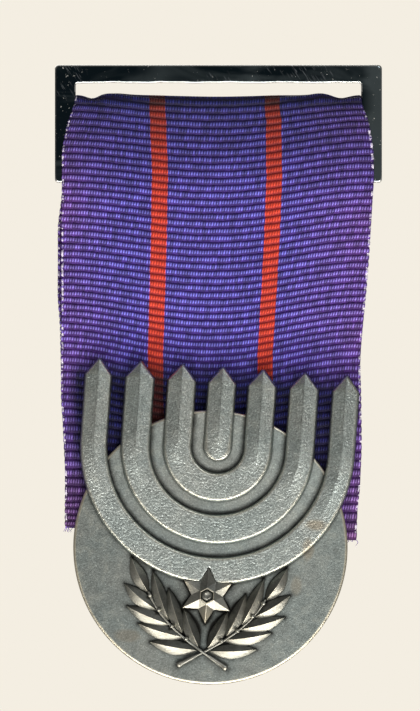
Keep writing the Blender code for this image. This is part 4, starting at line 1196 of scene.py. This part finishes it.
def build_clamp(nickel):
    inner = SEAT_FLOOR_H - BAR_SPACE
    outer = inner - BAR_THICKNESS
    half_w = (BAR_W[1] - BAR_W[0]) / 2
    sections = []
    rounding = ((outer + 0.16, 0.0), (outer + 0.05, 0.05), (outer, 0.16))
    for h, inset in ((inner, 0.02), (inner - 0.04, 0.0)) + rounding:
        ring = rounded_rectangle(BAR_HALF_LENGTH - inset, half_w - inset, 0.5, 8, 6)
        sections.append(at_height(ring + (0.0, BAR_MIDDLE_W), h))
    bar = pendant_solid("clamp_bar", sections, nickel)
    cut_bar_holes(bar, outer - 1, inner + 1, nickel)
    round_edges(bar, 0.04, 2, 40.0)
    hand_over(bar, "ribbon_clamp_bar")
    shank, rim, head = 0.55, 0.95, outer - FITTING_GAP
    levels = [(SEAT_FLOOR_H + 0.55, 0.5), (SEAT_FLOOR_H + 0.5, shank), (head, shank), (head, rim)]
    levels.append((head - 0.08, rim))
    for turn in np.linspace(0.15, 1.45, 6):
        levels.append((head - 0.08 - 0.22 * math.sin(turn), rim * math.cos(turn)))
    for side, u in (("left", -BAR_RIVET_U), ("right", BAR_RIVET_U)):
        rings = turned(levels, 40, (u, BAR_MIDDLE_W))
        rivet = pendant_solid("clamp_rivet_head_" + side, rings, nickel)
        add_bevel(rivet, 0.03, 2, 50.0)
        hand_over(rivet, "clamp_rivet_" + side)


# ---- stage


def area_light(name, place, size, power, colour):
    """A rectangular lamp, unseen by the camera, turned to the object's middle."""
    data = bpy.data.lights.new(name, "AREA")
    data.shape = "RECTANGLE"
    data.size, data.size_y = size
    data.energy = power
    data.color = colour
    light = add_object(name, data)
    light.location = place
    light.rotation_euler = (Vector(STAGE_MIDDLE) - Vector(place)).to_track_quat("-Z", "Y").to_euler()
    light.visible_camera = False


def build_floor():
    s = Shader("pale_floor")
    blotch = s.noise(14.0, 3.0)
    tint = s.ramp(blotch, (0.3, (0.80, 0.775, 0.72)), (0.7, (0.84, 0.815, 0.76)))
    s.finish(Base_Color=tint, Roughness=0.9)
    s.finish(Emission_Color=(0.90, 0.85, 0.76, 1.0), Emission_Strength=0.72)
    corners = at_height(rectangle(-FLOOR_REACH, -FLOOR_REACH, FLOOR_REACH, FLOOR_REACH), FLOOR_Z)
    floor = place_mesh("floor", corners, [(0, 1, 2, 3)], s.material, smooth=False)
    # Only the camera sees it: the object keeps the light of the lamps alone.
    floor.visible_diffuse = floor.visible_glossy = False


def build_stage():
    build_floor()
    world = bpy.data.worlds.new("studio")
    bpy.context.scene.world = world
    world.use_nodes = True
    tree = world.node_tree
    background = tree.nodes["Background"]
    seen = tree.nodes.new("ShaderNodeBackground")
    # The object is lit by a dim grey, and the camera sees a pale wall.
    for node, colour, strength in (
        (background, (0.50, 0.49, 0.47, 1.0), 0.40),
        (seen, (0.905, 0.855, 0.76, 1.0), 1.0),
    ):
        node.inputs["Color"].default_value = colour
        node.inputs["Strength"].default_value = strength
    path = tree.nodes.new("ShaderNodeLightPath")
    mix = tree.nodes.new("ShaderNodeMixShader")
    tree.links.new(path.outputs["Is Camera Ray"], mix.inputs[0])
    tree.links.new(background.outputs[0], mix.inputs[1])
    tree.links.new(seen.outputs[0], mix.inputs[2])
    tree.links.new(mix.outputs[0], tree.nodes["World Output"].inputs["Surface"])

    area_light("key", (0.05, -0.42, -0.38), (0.60, 0.14), 2.4, (1.0, 0.98, 0.95))
    area_light("low", (0.03, -0.17, -0.44), (0.80, 0.08), 2.2, (1.0, 0.95, 0.86))
    area_light("fill", (0.26, -0.46, 0.38), (0.3, 0.2), 0.9, (0.92, 0.96, 1.0))
    area_light("back", (-0.2, 0.5, 0.3), (0.5, 0.4), 2.0, (1.0, 0.98, 0.95))


def build_camera():
    """A flat view straight from the front."""
    data = bpy.data.cameras.new("camera")
    data.type = "ORTHO"
    data.ortho_scale = VIEW_HEIGHT * MM
    data.clip_start, data.clip_end = 0.02, 20.0
    camera = add_object("camera", data)
    camera.location = (-0.00103, -0.5, -0.03443)
    camera.rotation_euler = (math.radians(90.0), 0.0, 0.0)
    bpy.context.scene.camera = camera
    bpy.context.scene.view_settings.view_transform = "Standard"


def main():
    ground = ((0.372, 0.420, 0.402), (0.440, 0.463, 0.430), (0.02, 0.02, 0.018))
    struck = ((0.415, 0.465, 0.445), (0.475, 0.505, 0.475), (0.03, 0.03, 0.024))
    polished = ((0.29, 0.295, 0.27), (0.35, 0.345, 0.305), (0.020, 0.022, 0.018))
    silver = silver_material("silver_ground", ground, 0.46, 1.3, grooves=True)
    cast = silver_material("silver_cast", struck, 0.40, 2.4, low_gain=1.13)
    bright = silver_material("silver_worn", polished, 0.40, 0.5)
    nickel = fitting_material("nickel", (0.5, 0.48, 0.43), 0.3)
    steel = fitting_material("steel_wire", (0.58, 0.58, 0.57), 0.2)
    build_camera()
    build_stage()
    build_frame(chrome_material())
    build_brooch(nickel, steel)
    build_disc(silver)
    arms = {size: build_arm_pair(size, cast) for size in ARM_RADII}
    build_stem(cast)
    build_star(bright, arms["outer"])
    build_wreath(bright)
    build_clamp(nickel)
    build_ribbon()


main()
